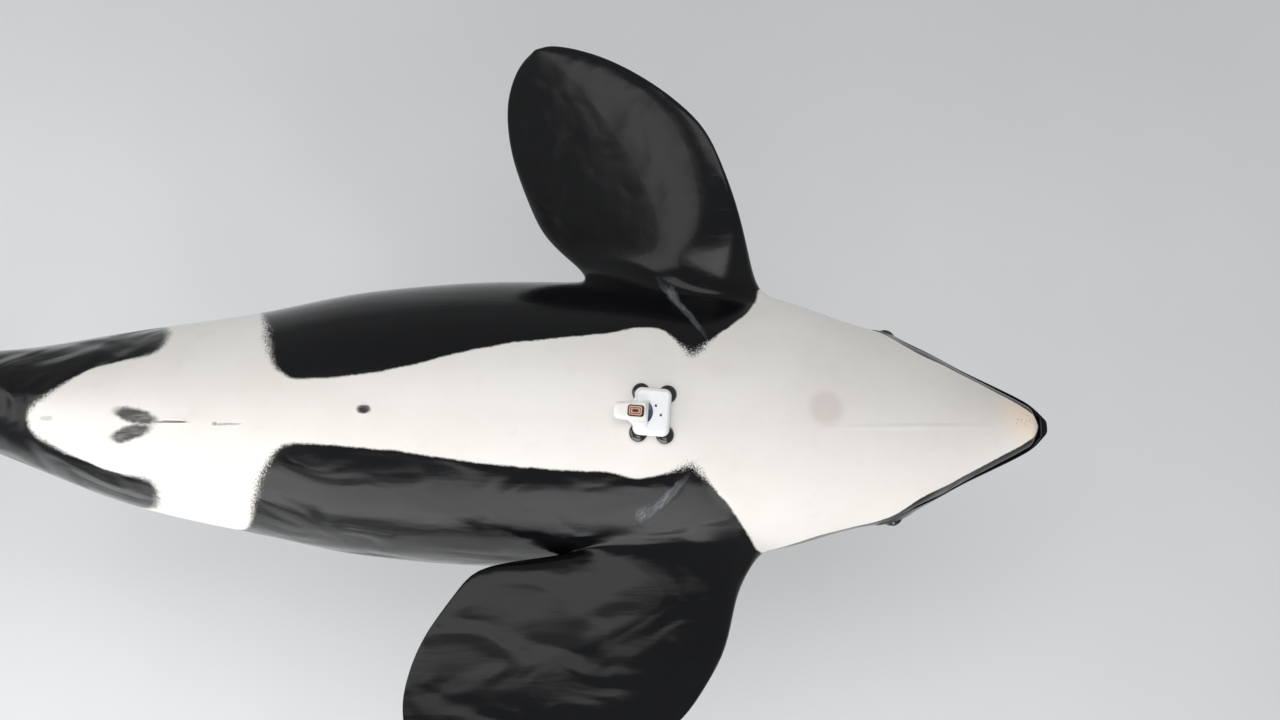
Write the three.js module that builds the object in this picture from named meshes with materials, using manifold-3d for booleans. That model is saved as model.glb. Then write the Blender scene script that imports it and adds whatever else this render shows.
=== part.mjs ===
// Life-size orca floating on its back, belly up, held by a display stand.
// Millimetres, +Z up. +X points to the snout and +Y to the animal's right side.
// The origin is the middle of the underside of the stand's base.

import * as THREE from 'three';
import Module from 'manifold-3d';
import { mergeVertices } from 'three/addons/utils/BufferGeometryUtils.js';

const wasm = await Module();
wasm.setup();

// Places along the body are given as the distance behind the tip of the snout.
const SNOUT_X = 2300;
const AXIS_HEIGHT = 1580;
const GAP = 0.3;
const TAIL_TIP = 5250;

// Half width, depth to the belly (up) and depth to the back (down) along the body.
const BODY_ROWS = [
  { behind: 0, halfWidth: 24, belly: 14, back: 42 },
  { behind: 60, halfWidth: 84, belly: 62, back: 132 },
  { behind: 120, halfWidth: 119, belly: 94, back: 204 },
  { behind: 230, halfWidth: 172, belly: 140, back: 294 },
  { behind: 340, halfWidth: 224, belly: 184, back: 354 },
  { behind: 500, halfWidth: 306, belly: 246, back: 410 },
  { behind: 800, halfWidth: 408, belly: 352, back: 462 },
  { behind: 1120, halfWidth: 500, belly: 444, back: 492 },
  { behind: 1600, halfWidth: 546, belly: 524, back: 516 },
  { behind: 2100, halfWidth: 554, belly: 550, back: 525 },
  { behind: 2600, halfWidth: 520, belly: 524, back: 508 },
  { behind: 3070, halfWidth: 430, belly: 455, back: 465 },
  { behind: 3520, halfWidth: 350, belly: 365, back: 400 },
  { behind: 4100, halfWidth: 204, belly: 255, back: 300 },
  { behind: 4600, halfWidth: 122, belly: 165, back: 196 },
  { behind: 5000, halfWidth: 84, belly: 92, back: 108 },
  { behind: TAIL_TIP, halfWidth: 60, belly: 36, back: 40 },
];
const COLUMNS = 40;
const MERGE_DISTANCE = 0.0001;
const NORMAL_STEP = 4;
const NORMAL_TURN = 0.02;
const NOSE_RINGS = [14, 34, 60, 90];
const HEAD_RING_STEP = 46;
const BODY_RING_STEP = 110;

// Where one named length of the body ends and the next begins.
const HEAD_END = 780;
const NECK_END = 1120;
const CHEST_END = 2100;
const BELLY_END = 3070;
const RUMP_END = 4100;

// The tail stock narrows to a ridge above and below, and the tail curves a little.
const KEEL_START = 3300;
const KEEL_SHARPNESS = 0.45;
const CURVE_START = 3000;
const CURVE_LENGTH = 2400;
const CURVE_SIDEWAYS = 400;
const CURVE_DOWN = 80;

// The head looks a little to its left.
const HEAD_TURN = -16;
const HEAD_TURN_START = 1100;
const HEAD_TURN_END = 500;

// Lower jaw, set in under the lips of the upper jaw. The mouth rises towards the corners.
const JAW_TIP = 36;
const JAW_TIP_START = 5;
const JAW_TIP_LENGTH = 42;
const JAW_END = 520;
const LIP_WIDTH = 15;
const LIP_FADE = 500;
const MOUTH_SLOPE = THREE.MathUtils.degToRad(8.5);
const HEAD_REACH = 1000;

// Eyes and their lids, on a soft swelling of the cheek.
const EYE_BEHIND = 616;
const EYE_ANGLE = THREE.MathUtils.degToRad(90);
const CHEEK_SWELL = 22;
const CHEEK_LENGTH = 95;
const CHEEK_ANGLE = THREE.MathUtils.degToRad(17);
const EYE_RADIUS = 27;
const EYE_DEPTH = 13;
const LID_RADIUS = 32;
const LID_THICKNESS = 9;
const LID_STRETCH = 1.4;
const LID_SINK = 4;
const EYE_STEPS = { around: 18, down: 12 };
const LID_STEPS = { tube: 8, around: 24 };

// Blowhole, a crescent slit on top of the head whose ends point forward.
const BLOWHOLE_BEHIND = 690;
const BLOWHOLE_RADIUS = 52;
const BLOWHOLE_WIDTH = 13;
const BLOWHOLE_DEPTH = 30;
const BLOWHOLE_SWEEP = THREE.MathUtils.degToRad(150);
const BLOWHOLE_STEPS = 10;

// Flippers: one outline for both, each with a pose of its own.
// lead and trail are the distances of the two edges from the flipper's long axis.
const FLIPPER_SPAN = 1274;
const FLIPPER_ROWS = [
  { along: 0, lead: 305, trail: -325, thickness: 190 },
  { along: 0.12, lead: 322, trail: -262, thickness: 172 },
  { along: 0.3, lead: 412, trail: -360, thickness: 138 },
  { along: 0.5, lead: 408, trail: -502, thickness: 104 },
  { along: 0.7, lead: 276, trail: -512, thickness: 74 },
  { along: 0.86, lead: 96, trail: -466, thickness: 50 },
  { along: 0.96, lead: -72, trail: -364, thickness: 34 },
  { along: 1, lead: -202, trail: -216, thickness: 22 },
];
const FLIPPER_ROOT = { behind: 1424, outward: 311, above: 148 };
const FLIPPER_TURN_END = 0.3;
const FLIPPER_EDGE = 0.2;
const FLIPPER_STEPS = 20;
const FLIPPER_POSES = {
  right: { side: 1, sweep: 20, raise: 9, turn: 41 },
  left: { side: -1, sweep: 33, raise: 13, turn: -5 },
};

// Dorsal fin, hanging straight down from the back.
const DORSAL_HEIGHT = 1030;
const DORSAL_BEHIND = 2450;
const DORSAL_ROOT_DEPTH = 430;
const DORSAL_ROWS = [
  { along: 0, lead: 420, trail: -400, thickness: 150 },
  { along: 0.12, lead: 372, trail: -338, thickness: 138 },
  { along: 0.35, lead: 205, trail: -262, thickness: 108 },
  { along: 0.6, lead: 22, trail: -250, thickness: 78 },
  { along: 0.82, lead: -142, trail: -278, thickness: 52 },
  { along: 0.95, lead: -232, trail: -300, thickness: 34 },
  { along: 1, lead: -280, trail: -306, thickness: 24 },
];
const DORSAL_EDGE = 0.2;
const DORSAL_STEPS = 16;

// Tail flukes.
const FLUKE_SPAN = 730;
const FLUKE_BEHIND = 5120;
const FLUKE_ROWS = [
  { along: 0, lead: 300, trail: -232, thickness: 120 },
  { along: 0.1, lead: 278, trail: -266, thickness: 106 },
  { along: 0.3, lead: 206, trail: -300, thickness: 78 },
  { along: 0.55, lead: 88, trail: -304, thickness: 54 },
  { along: 0.8, lead: -66, trail: -296, thickness: 36 },
  { along: 0.95, lead: -196, trail: -296, thickness: 26 },
  { along: 1, lead: -268, trail: -300, thickness: 20 },
];
const FLUKE_EDGE = 0.24;
const FLUKE_STEPS = 14;

// Foil section, shared by flippers, fin and flukes.
const CHORD_STEPS = 9;
const FOIL_CREST = 0.32;
const FOIL_TAPER = 1.5;

// Suction-cup logger worn on the chest.
const TAG_BEHIND = 1551;
const TAG_SIDE = -27;
const TAG_TURN = THREE.MathUtils.degToRad(-4);
const TAG_LENGTH = 112;
const TAG_WIDTH = 149;
const TAG_SHIFT = -5;
const TAG_SIDE_SHIFT = 4;
const TAG_HEIGHT = 30;
const TAG_CORNER = 14;
const TAG_BEVEL = 7;
const CUP_RADIUS = 31;
const CUP_OFFSET_X = 46;
const CUP_OFFSET_Y = 70;
const CUP_TOP = 12;
const CUP_SINK = 22;
const CUP_TAPER = 6;
const CUP_STEPS = 20;
const POD_FRONT = -28;
const POD_BACK = -133;
const POD_SIDE = -1;
const POD_ROOT_WIDTH = 65;
const POD_END_WIDTH = 48;
const POD_END_CORNER = 8;
const POD_HEIGHT = 20;
const POD_BEVEL = 5;
const WINDOW_X = -66;
const WINDOW_LENGTH = 55;
const WINDOW_WIDTH = 38;
const WINDOW_CORNER = 9;
const WINDOW_HEIGHT = 3;
const WINDOW_RIM = 4;
const BUTTON_PLACES = [{ x: 3, y: 23 }, { x: 22, y: -8 }];
const BUTTON_RADIUS = 3.5;
const BUTTON_HEIGHT = 2;
const BUTTON_STEPS = 12;
const CRESCENT_X = -22;
const CRESCENT_HALF = 35;
const CRESCENT_RISE = 16;
const CORNER_STEPS = 5;
const BEVEL_STEPS = 2;
const FLAT_STEPS = 6;

// Display stand.
const BASE_LENGTH = 2300;
const BASE_WIDTH = 900;
const BASE_HEIGHT = 50;
const BASE_CORNER = 120;
const BASE_BEVEL = 4;
const ROD_RADIUS = 36;
const ROD_FOOT_RADIUS = 105;
const ROD_FOOT_HEIGHT = 16;
const ROD_SEGMENTS = 24;
const ROD_PLACES = { front: 1640, rear: 3330 };

const BLACK_SKIN = { color: 0x1a1b1d, roughness: 0.28, metalness: 0 };
const WHITE_SKIN = { color: 0xe2deda, roughness: 0.35, metalness: 0 };
const EYE_FINISH = { color: 0x140d0a, roughness: 0.06, metalness: 0 };
const WHITE_PLASTIC = { color: 0xeeeeec, roughness: 0.4, metalness: 0 };
const BLACK_RUBBER = { color: 0x101010, roughness: 0.6, metalness: 0 };
const COPPER = { color: 0xb06a34, roughness: 0.35, metalness: 0.8 };
const BLUE_PLASTIC = { color: 0x1d2c4d, roughness: 0.35, metalness: 0 };
const STAND_PAINT = { color: 0x8d9094, roughness: 0.45, metalness: 0.2 };

const orca = new THREE.Group();

// A smooth curve through the rows' values that never overshoots them.
function smoothThrough(places, values) {
  const slopes = places.slice(1).map((place, i) => (values[i + 1] - values[i]) / (place - places[i]));
  const tangents = places.map((_, i) => {
    if (i === 0) return slopes[0];
    if (i === places.length - 1) return slopes[i - 1];
    const before = slopes[i - 1];
    const after = slopes[i];
    return before * after <= 0 ? 0 : (2 * before * after) / (before + after);
  });
  return (place) => {
    let i = 0;
    while (i < places.length - 2 && place > places[i + 1]) i += 1;
    const width = places[i + 1] - places[i];
    const t = (place - places[i]) / width;
    const rise = values[i + 1] - values[i];
    const bendStart = tangents[i] * width - rise;
    const bendEnd = rise - tangents[i + 1] * width;
    return values[i] + rise * t + t * (1 - t) * (bendStart * (1 - t) + bendEnd * t);
  };
}

// Round functions for all the columns of a table of rows, read by one key.
function columnsOf(rows, key, names) {
  const places = rows.map((row) => row[key]);
  return Object.fromEntries(names.map((name) => [name, smoothThrough(places, rows.map((row) => row[name]))]));
}

function smoothStep(t) {
  const held = Math.min(Math.max(t, 0), 1);
  return held * held * (3 - 2 * held);
}

// Skin of rings, each a list of points, closed by a fan at both ends.
// Columns from flipFrom on are split along the other diagonal.
function skinOfRings(rings, flipFrom = Infinity) {
  const count = rings[0].length;
  const points = rings.flat();
  const triangles = [];
  for (let i = 0; i < rings.length - 1; i += 1) {
    for (let k = 0; k < count; k += 1) {
      const a = i * count + k;
      const b = i * count + ((k + 1) % count);
      const c = a + count;
      const d = b + count;
      if (k < flipFrom) triangles.push(a, b, d, a, d, c);
      else triangles.push(a, b, c, b, d, c);
    }
  }
  for (const [start, outward] of [[0, -1], [(rings.length - 1) * count, 1]]) {
    const middle = points.length;
    const ring = points.slice(start, start + count);
    points.push(ring.reduce((sum, point) => sum.add(point), new THREE.Vector3()).divideScalar(count));
    for (let k = 0; k < count; k += 1) {
      const here = start + k;
      const next = start + ((k + 1) % count);
      if (outward > 0) triangles.push(middle, here, next);
      else triangles.push(middle, next, here);
    }
  }
  const geometry = new THREE.BufferGeometry().setFromPoints(points);
  geometry.setIndex(triangles);
  return geometry;
}

// Solids for joining and cutting.
function solidOf(geometry) {
  const bare = geometry.clone();
  bare.deleteAttribute('normal');
  bare.deleteAttribute('uv');
  const merged = mergeVertices(bare, MERGE_DISTANCE);
  const mesh = new wasm.Mesh({
    numProp: 3,
    vertProperties: new Float32Array(merged.attributes.position.array),
    triVerts: new Uint32Array(merged.index.array),
  });
  const solid = new wasm.Manifold(mesh);
  return solid.volume() < 0 ? solidOf(turnedInsideOut(merged)) : solid;
}

function turnedInsideOut(geometry) {
  const flipped = geometry.clone();
  const index = flipped.index.array;
  for (let i = 0; i < index.length; i += 3) [index[i], index[i + 1]] = [index[i + 1], index[i]];
  return flipped;
}

function geometryOf(solid) {
  const pieces = solid.decompose().sort((one, other) => other.volume() - one.volume());
  const mesh = pieces[0].getMesh();
  const geometry = new THREE.BufferGeometry();
  const positions = new Float32Array(mesh.vertProperties);
  geometry.setAttribute('position', new THREE.BufferAttribute(positions, mesh.numProp));
  geometry.setIndex([...mesh.triVerts]);
  return geometry;
}

function addPiece(name, geometry, finish) {
  const mesh = new THREE.Mesh(geometry, new THREE.MeshStandardMaterial(finish));
  mesh.name = name;
  orca.add(mesh);
  return mesh;
}

// The body's surface
const body = columnsOf(BODY_ROWS, 'behind', ['halfWidth', 'belly', 'back']);

function tailCurve(behind) {
  const t = Math.max(0, behind - CURVE_START) / CURVE_LENGTH;
  return { side: CURVE_SIDEWAYS * t * t, down: CURVE_DOWN * t * t, slope: (2 * t) / CURVE_LENGTH };
}

// angle is 0 on the middle of the belly and grows towards the animal's right side.
function bodyPoint(behind, angle, swell = 0) {
  const side = Math.sin(angle);
  const up = Math.cos(angle);
  const keel = 1 + KEEL_SHARPNESS * smoothStep((behind - KEEL_START) / (TAIL_TIP - KEEL_START));
  const halfWidth = body.halfWidth(behind) + cheekSwell(behind, angle) + swell;
  const depth = (up > 0 ? body.belly(behind) : body.back(behind)) + swell;
  const curve = tailCurve(behind);
  return new THREE.Vector3(
    SNOUT_X - behind,
    curve.side + headTurn(behind) + halfWidth * Math.sign(side) * Math.abs(side) ** keel,
    AXIS_HEIGHT - curve.down + depth * up,
  );
}

function headTurn(behind) {
  return HEAD_TURN * smoothStep((HEAD_TURN_START - behind) / (HEAD_TURN_START - HEAD_TURN_END));
}

function cheekSwell(behind, angle) {
  const along = (behind - EYE_BEHIND) / CHEEK_LENGTH;
  const around = (Math.acos(Math.cos(angle)) - EYE_ANGLE) / CHEEK_ANGLE;
  return CHEEK_SWELL * Math.exp(-along * along - around * around);
}

function ringPlaces(from, to) {
  const places = [...NOSE_RINGS];
  for (const [start, end, step] of [
    [NOSE_RINGS.at(-1), HEAD_END, HEAD_RING_STEP],
    [HEAD_END, NECK_END, BODY_RING_STEP],
    [NECK_END, CHEST_END, BODY_RING_STEP],
    [CHEST_END, BELLY_END, BODY_RING_STEP],
    [BELLY_END, RUMP_END, BODY_RING_STEP],
    [RUMP_END, TAIL_TIP, BODY_RING_STEP],
  ]) {
    const count = Math.round((end - start) / step);
    for (let i = 1; i <= count; i += 1) places.push(start + ((end - start) * i) / count);
  }
  return [from, ...places.filter((place) => place > from + GAP && place < to - GAP), to];
}

function bodyLength(from, to, swell = 0) {
  const rings = ringPlaces(from, to).map((behind) =>
    Array.from({ length: COLUMNS }, (_, k) => bodyPoint(behind, (2 * Math.PI * k) / COLUMNS, swell)));
  return skinOfRings(rings);
}

function bodySpace(from, to) {
  return solidOf(bodyLength(from, to, GAP));
}

// Head, lower jaw, lids and blowhole
function bodyNormal(behind, angle) {
  const alongBody = bodyPoint(behind + NORMAL_STEP, angle).sub(bodyPoint(behind - NORMAL_STEP, angle));
  const aroundBody = bodyPoint(behind, angle + NORMAL_TURN).sub(bodyPoint(behind, angle - NORMAL_TURN));
  return aroundBody.cross(alongBody).normalize();
}

function onSkin(geometry, behind, angle, depth) {
  const normal = bodyNormal(behind, angle);
  const ahead = bodyPoint(behind - NORMAL_STEP, angle);
  const forward = ahead.sub(bodyPoint(behind + NORMAL_STEP, angle)).normalize();
  const across = normal.clone().cross(forward);
  const place = bodyPoint(behind, angle).addScaledVector(normal, -depth);
  const matrix = new THREE.Matrix4().makeBasis(forward, across, normal).setPosition(place);
  return geometry.applyMatrix4(matrix);
}

function eyeball(angle, swell = 0) {
  const ball = new THREE.SphereGeometry(EYE_RADIUS + swell, EYE_STEPS.around, EYE_STEPS.down);
  return onSkin(ball, EYE_BEHIND, angle, EYE_DEPTH);
}

function lids(angle) {
  const ring = new THREE.TorusGeometry(LID_RADIUS, LID_THICKNESS, LID_STEPS.tube, LID_STEPS.around);
  return solidOf(onSkin(ring.scale(LID_STRETCH, 1, 1), EYE_BEHIND, angle, LID_SINK));
}

function blowholeSlit() {
  const slit = new THREE.Shape();
  const inner = BLOWHOLE_RADIUS - BLOWHOLE_WIDTH / 2;
  const outer = BLOWHOLE_RADIUS + BLOWHOLE_WIDTH / 2;
  slit.absarc(0, 0, outer, -BLOWHOLE_SWEEP / 2, BLOWHOLE_SWEEP / 2, false);
  slit.absarc(0, 0, inner, BLOWHOLE_SWEEP / 2, -BLOWHOLE_SWEEP / 2, true);
  const cutter = flatPiece(slit, 2 * BLOWHOLE_DEPTH, BLOWHOLE_STEPS);
  cutter.translate(-BLOWHOLE_RADIUS, 0, -BLOWHOLE_DEPTH).rotateZ(Math.PI);
  return solidOf(onSkin(cutter, BLOWHOLE_BEHIND, Math.PI, 0));
}

function lowerJawSkin() {
  const rings = ringPlaces(JAW_TIP, JAW_END).map((behind) => {
    const fade = 1 - smoothStep((behind - JAW_TIP) / (LIP_FADE - JAW_TIP));
    const tipStretch = Math.sqrt(Math.min((behind - JAW_TIP + JAW_TIP_START) / JAW_TIP_LENGTH, 1));
    const squeeze = tipStretch * (1 - (LIP_WIDTH * fade) / body.halfWidth(behind));
    return Array.from({ length: COLUMNS }, (_, k) => {
      const point = bodyPoint(behind, (2 * Math.PI * k) / COLUMNS);
      point.y = HEAD_TURN + (point.y - HEAD_TURN) * squeeze;
      point.z = AXIS_HEIGHT + (point.z - AXIS_HEIGHT) * tipStretch;
      return point;
    });
  });
  return solidOf(skinOfRings(rings));
}

// The space above the mouth and in front of the corners of the jaw.
function jawSpace(swell) {
  const box = new THREE.BoxGeometry(JAW_END + HEAD_REACH + swell, 2 * HEAD_REACH, HEAD_REACH);
  box.translate((HEAD_REACH - JAW_END - swell) / 2, 0, HEAD_REACH / 2 - swell);
  return solidOf(box.rotateY(MOUTH_SLOPE).translate(SNOUT_X, 0, AXIS_HEIGHT));
}

function addHead() {
  let head = solidOf(bodyLength(0, HEAD_END - GAP / 2)).subtract(jawSpace(GAP));
  for (const angle of [EYE_ANGLE, -EYE_ANGLE]) {
    head = head.add(lids(angle)).subtract(solidOf(eyeball(angle, GAP)));
  }
  addPiece('head', geometryOf(head.subtract(blowholeSlit())), BLACK_SKIN);
  addPiece('lower_jaw', geometryOf(lowerJawSkin().intersect(jawSpace(0))), WHITE_SKIN);
  addPiece('eye_right', eyeball(EYE_ANGLE), EYE_FINISH);
  addPiece('eye_left', eyeball(-EYE_ANGLE), EYE_FINISH);
}

function addTrunk() {
  const lengths = [
    ['neck', HEAD_END, NECK_END, WHITE_SKIN],
    ['torso_chest', NECK_END, CHEST_END, WHITE_SKIN],
    ['torso_belly', CHEST_END, BELLY_END, BLACK_SKIN],
    ['torso_rump', BELLY_END, RUMP_END, WHITE_SKIN],
    ['tail_stock', RUMP_END, TAIL_TIP, BLACK_SKIN],
  ];
  for (const [name, from, to, finish] of lengths) {
    addPiece(name, bodyLength(from + GAP / 2, to - GAP / 2), finish);
  }
}

// Half thickness of a foil at a share of its chord, 1 at the crest.
function foilHeight(share, edge) {
  if (share < FOIL_CREST) return Math.sqrt(1 - ((FOIL_CREST - share) / FOIL_CREST) ** 2);
  return 1 - (1 - edge) * ((share - FOIL_CREST) / (1 - FOIL_CREST)) ** FOIL_TAPER;
}

// A fin or flipper as sections placed by place(along, chord, height).
// Sections are closer together towards the tip, so that it comes out round.
function foil(rows, steps, edge, place) {
  const angles = rows.map((row) => ({ ...row, turn: Math.asin(row.along) }));
  const outline = columnsOf(angles, 'turn', ['lead', 'trail', 'thickness']);
  const shares = Array.from({ length: CHORD_STEPS }, (_, k) =>
    1 - Math.cos(((k + 1) / CHORD_STEPS) * Math.PI / 2));
  const rings = Array.from({ length: steps + 1 }, (_, i) => {
    const turn = (i / steps) * (Math.PI / 2);
    const at = (share, face) => {
      const chord = THREE.MathUtils.lerp(outline.lead(turn), outline.trail(turn), share);
      return place(Math.sin(turn), chord, (face * foilHeight(share, edge) * outline.thickness(turn)) / 2);
    };
    const upper = shares.map((share) => at(share, 1));
    const lower = shares.map((share) => at(share, -1)).reverse();
    return [at(0, 0), ...upper, ...lower];
  });
  return skinOfRings(rings, CHORD_STEPS);
}

function flipperPlace(pose) {
  const sweep = THREE.MathUtils.degToRad(pose.sweep);
  const raise = THREE.MathUtils.degToRad(pose.raise);
  const outward = new THREE.Vector3(
    -Math.sin(sweep) * Math.cos(raise),
    pose.side * Math.cos(sweep) * Math.cos(raise),
    Math.sin(raise),
  );
  const forward = new THREE.Vector3(Math.cos(sweep), pose.side * Math.sin(sweep), 0);
  const normal = forward.clone().cross(outward).multiplyScalar(pose.side);
  const root = new THREE.Vector3(
    SNOUT_X - FLIPPER_ROOT.behind,
    pose.side * FLIPPER_ROOT.outward,
    AXIS_HEIGHT + FLIPPER_ROOT.above,
  );
  return (along, chord, height) => {
    const turn = THREE.MathUtils.degToRad(pose.turn) * smoothStep(along / FLIPPER_TURN_END);
    return root.clone()
      .addScaledVector(outward, along * FLIPPER_SPAN)
      .addScaledVector(forward, chord * Math.cos(turn) - height * Math.sin(turn))
      .addScaledVector(normal, chord * Math.sin(turn) + height * Math.cos(turn));
  };
}

function addFlippers() {
  const chest = bodySpace(HEAD_END, BELLY_END);
  for (const [side, pose] of Object.entries(FLIPPER_POSES)) {
    const flipper = foil(FLIPPER_ROWS, FLIPPER_STEPS, FLIPPER_EDGE, flipperPlace(pose));
    addPiece(`flipper_${side}`, geometryOf(solidOf(flipper).subtract(chest)), BLACK_SKIN);
  }
}

function addDorsalFin() {
  const root = AXIS_HEIGHT - DORSAL_ROOT_DEPTH;
  const place = (along, chord, height) =>
    new THREE.Vector3(SNOUT_X - DORSAL_BEHIND + chord, height, root - along * DORSAL_HEIGHT);
  const fin = foil(DORSAL_ROWS, DORSAL_STEPS, DORSAL_EDGE, place);
  addPiece('dorsal_fin', geometryOf(solidOf(fin).subtract(bodySpace(NECK_END, RUMP_END))), BLACK_SKIN);
}

function addFlukes() {
  const stock = bodySpace(RUMP_END, TAIL_TIP);
  const curve = tailCurve(FLUKE_BEHIND);
  const root = new THREE.Vector3(SNOUT_X - FLUKE_BEHIND, curve.side, AXIS_HEIGHT - curve.down);
  const back = new THREE.Vector3(-1, curve.slope * CURVE_SIDEWAYS, -curve.slope * CURVE_DOWN).normalize();
  const across = new THREE.Vector3(0, 0, 1).cross(back).negate().normalize();
  const up = back.clone().cross(across).normalize();
  for (const [name, side] of [['fluke_right', 1], ['fluke_left', -1]]) {
    const place = (along, chord, height) => root.clone()
      .addScaledVector(across, side * (GAP / 2 + along * FLUKE_SPAN))
      .addScaledVector(back, -chord)
      .addScaledVector(up, height);
    const fluke = foil(FLUKE_ROWS, FLUKE_STEPS, FLUKE_EDGE, place);
    addPiece(name, geometryOf(solidOf(fluke).subtract(stock)), BLACK_SKIN);
  }
}

// Logger on the chest
function roundedShape(length, width, corner) {
  const shape = new THREE.Shape();
  const x = length / 2 - corner;
  const y = width / 2 - corner;
  shape.absarc(x, y, corner, 0, Math.PI / 2);
  shape.absarc(-x, y, corner, Math.PI / 2, Math.PI);
  shape.absarc(-x, -y, corner, Math.PI, 1.5 * Math.PI);
  shape.absarc(x, -y, corner, 1.5 * Math.PI, 2 * Math.PI);
  return shape;
}

function bevelledPlate(shape, height, bevel) {
  const plate = new THREE.ExtrudeGeometry(shape, {
    depth: height - 2 * bevel,
    bevelThickness: bevel,
    bevelSize: bevel,
    bevelSegments: BEVEL_STEPS,
    curveSegments: CORNER_STEPS,
  });
  return plate.translate(0, 0, bevel);
}

function roundedPlate(length, width, corner, height, bevel) {
  return bevelledPlate(roundedShape(length - 2 * bevel, width - 2 * bevel, corner), height, bevel);
}

function flatPiece(shape, height, curveSegments = FLAT_STEPS) {
  return new THREE.ExtrudeGeometry(shape, { depth: height, bevelEnabled: false, curveSegments });
}

function podShape() {
  const root = POD_ROOT_WIDTH / 2 - POD_BEVEL;
  const end = POD_END_WIDTH / 2 - POD_BEVEL - POD_END_CORNER;
  const cornerX = POD_BACK + POD_BEVEL + POD_END_CORNER;
  const shape = new THREE.Shape();
  shape.moveTo(POD_FRONT - POD_BEVEL, POD_SIDE - root);
  shape.lineTo(POD_FRONT - POD_BEVEL, POD_SIDE + root);
  shape.absarc(cornerX, POD_SIDE + end, POD_END_CORNER, Math.PI / 2, Math.PI);
  shape.absarc(cornerX, POD_SIDE - end, POD_END_CORNER, Math.PI, 1.5 * Math.PI);
  return shape;
}

// A slice of a disc, its straight side towards the pod.
function crescentShape() {
  const radius = (CRESCENT_HALF ** 2 + CRESCENT_RISE ** 2) / (2 * CRESCENT_RISE);
  const half = Math.asin(CRESCENT_HALF / radius);
  const centre = CRESCENT_X + CRESCENT_RISE - radius;
  const shape = new THREE.Shape();
  shape.absarc(centre, POD_SIDE, radius, -half, half);
  return shape;
}

function addTag() {
  const angle = Math.atan2(TAG_SIDE, body.halfWidth(TAG_BEHIND));
  const lift = (geometry, height) =>
    onSkin(geometry.translate(0, 0, height).rotateZ(TAG_TURN), TAG_BEHIND, angle, 0);
  const housingFoot = CUP_TOP + GAP;
  const housingTop = housingFoot + TAG_HEIGHT;
  const podTop = housingTop + GAP + POD_HEIGHT;
  const housing = roundedPlate(TAG_LENGTH, TAG_WIDTH, TAG_CORNER, TAG_HEIGHT, TAG_BEVEL);
  housing.translate(TAG_SHIFT, TAG_SIDE_SHIFT, 0);
  const pod = bevelledPlate(podShape(), POD_HEIGHT, POD_BEVEL);
  const crescent = flatPiece(crescentShape(), BUTTON_HEIGHT);
  addPiece('tag_housing', lift(housing, housingFoot), WHITE_PLASTIC);
  addPiece('tag_pod', lift(pod, housingTop + GAP), WHITE_PLASTIC);
  addPiece('tag_crescent', lift(crescent, housingTop + GAP), BLUE_PLASTIC);

  const paneShape = (inset) =>
    roundedShape(WINDOW_LENGTH - 2 * inset, WINDOW_WIDTH - 2 * inset, WINDOW_CORNER - inset);
  const windowPart = (shape, height) =>
    lift(flatPiece(shape, height).translate(WINDOW_X, POD_SIDE, 0), podTop + GAP);
  const rim = paneShape(0);
  rim.holes.push(paneShape(WINDOW_RIM));
  addPiece('tag_window_rim', windowPart(rim, WINDOW_HEIGHT), BLACK_RUBBER);
  addPiece('tag_window', windowPart(paneShape(WINDOW_RIM + GAP), WINDOW_HEIGHT / 2), COPPER);

  BUTTON_PLACES.forEach(({ x, y }, i) => {
    const button = new THREE.CylinderGeometry(BUTTON_RADIUS, BUTTON_RADIUS, BUTTON_HEIGHT, BUTTON_STEPS);
    button.rotateX(Math.PI / 2).translate(x, y, BUTTON_HEIGHT / 2);
    addPiece(`tag_button_${i + 1}`, lift(button, housingTop + GAP), BLACK_RUBBER);
  });

  const chest = bodySpace(NECK_END, CHEST_END);
  const corners = [[1, 1], [-1, 1], [-1, -1], [1, -1]];
  corners.forEach(([forward, side], i) => {
    const height = CUP_TOP + CUP_SINK;
    const cup = new THREE.CylinderGeometry(CUP_RADIUS - CUP_TAPER, CUP_RADIUS, height, CUP_STEPS);
    cup.rotateX(Math.PI / 2).translate(forward * CUP_OFFSET_X, side * CUP_OFFSET_Y, CUP_TOP - height / 2);
    addPiece(`tag_cup_${i + 1}`, geometryOf(solidOf(lift(cup, 0)).subtract(chest)), BLACK_RUBBER);
  });
}

// Display stand
function post(radius, from, to) {
  const profile = [
    new THREE.Vector2(0, from),
    new THREE.Vector2(radius, from),
    new THREE.Vector2(radius, to),
    new THREE.Vector2(0, to),
  ];
  return new THREE.LatheGeometry(profile, ROD_SEGMENTS).rotateX(Math.PI / 2);
}

function addStand() {
  const plate = roundedPlate(BASE_LENGTH, BASE_WIDTH, BASE_CORNER, BASE_HEIGHT, BASE_BEVEL);
  addPiece('stand_base', plate, STAND_PAINT);
  const back = bodySpace(NECK_END, RUMP_END);
  const footBottom = BASE_HEIGHT + GAP;
  const footTop = footBottom + ROD_FOOT_HEIGHT;
  for (const [name, behind] of Object.entries(ROD_PLACES)) {
    const place = [SNOUT_X - behind, tailCurve(behind).side, 0];
    const rod = post(ROD_RADIUS, footTop + GAP, AXIS_HEIGHT - ROD_RADIUS).translate(...place);
    const foot = post(ROD_FOOT_RADIUS, footBottom, footTop).translate(...place);
    addPiece(`stand_foot_${name}`, foot, STAND_PAINT);
    addPiece(`stand_rod_${name}`, geometryOf(solidOf(rod).subtract(back)), STAND_PAINT);
  }
}

addHead();
addTrunk();
addFlippers();
addDorsalFin();
addFlukes();
addTag();
addStand();

export default orca;
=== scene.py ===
"""The looks of a life-size orca that lies on its back, belly up, on a display stand.

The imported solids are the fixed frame. One skin covers the whole body; the eyes, the logger on
the chest, the stand and the studio each have an operator of their own. Metres, +Z up, +X to the
snout, +Y to the animal's right. Places along the body are distances behind the snout's tip.
"""

import math

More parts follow.
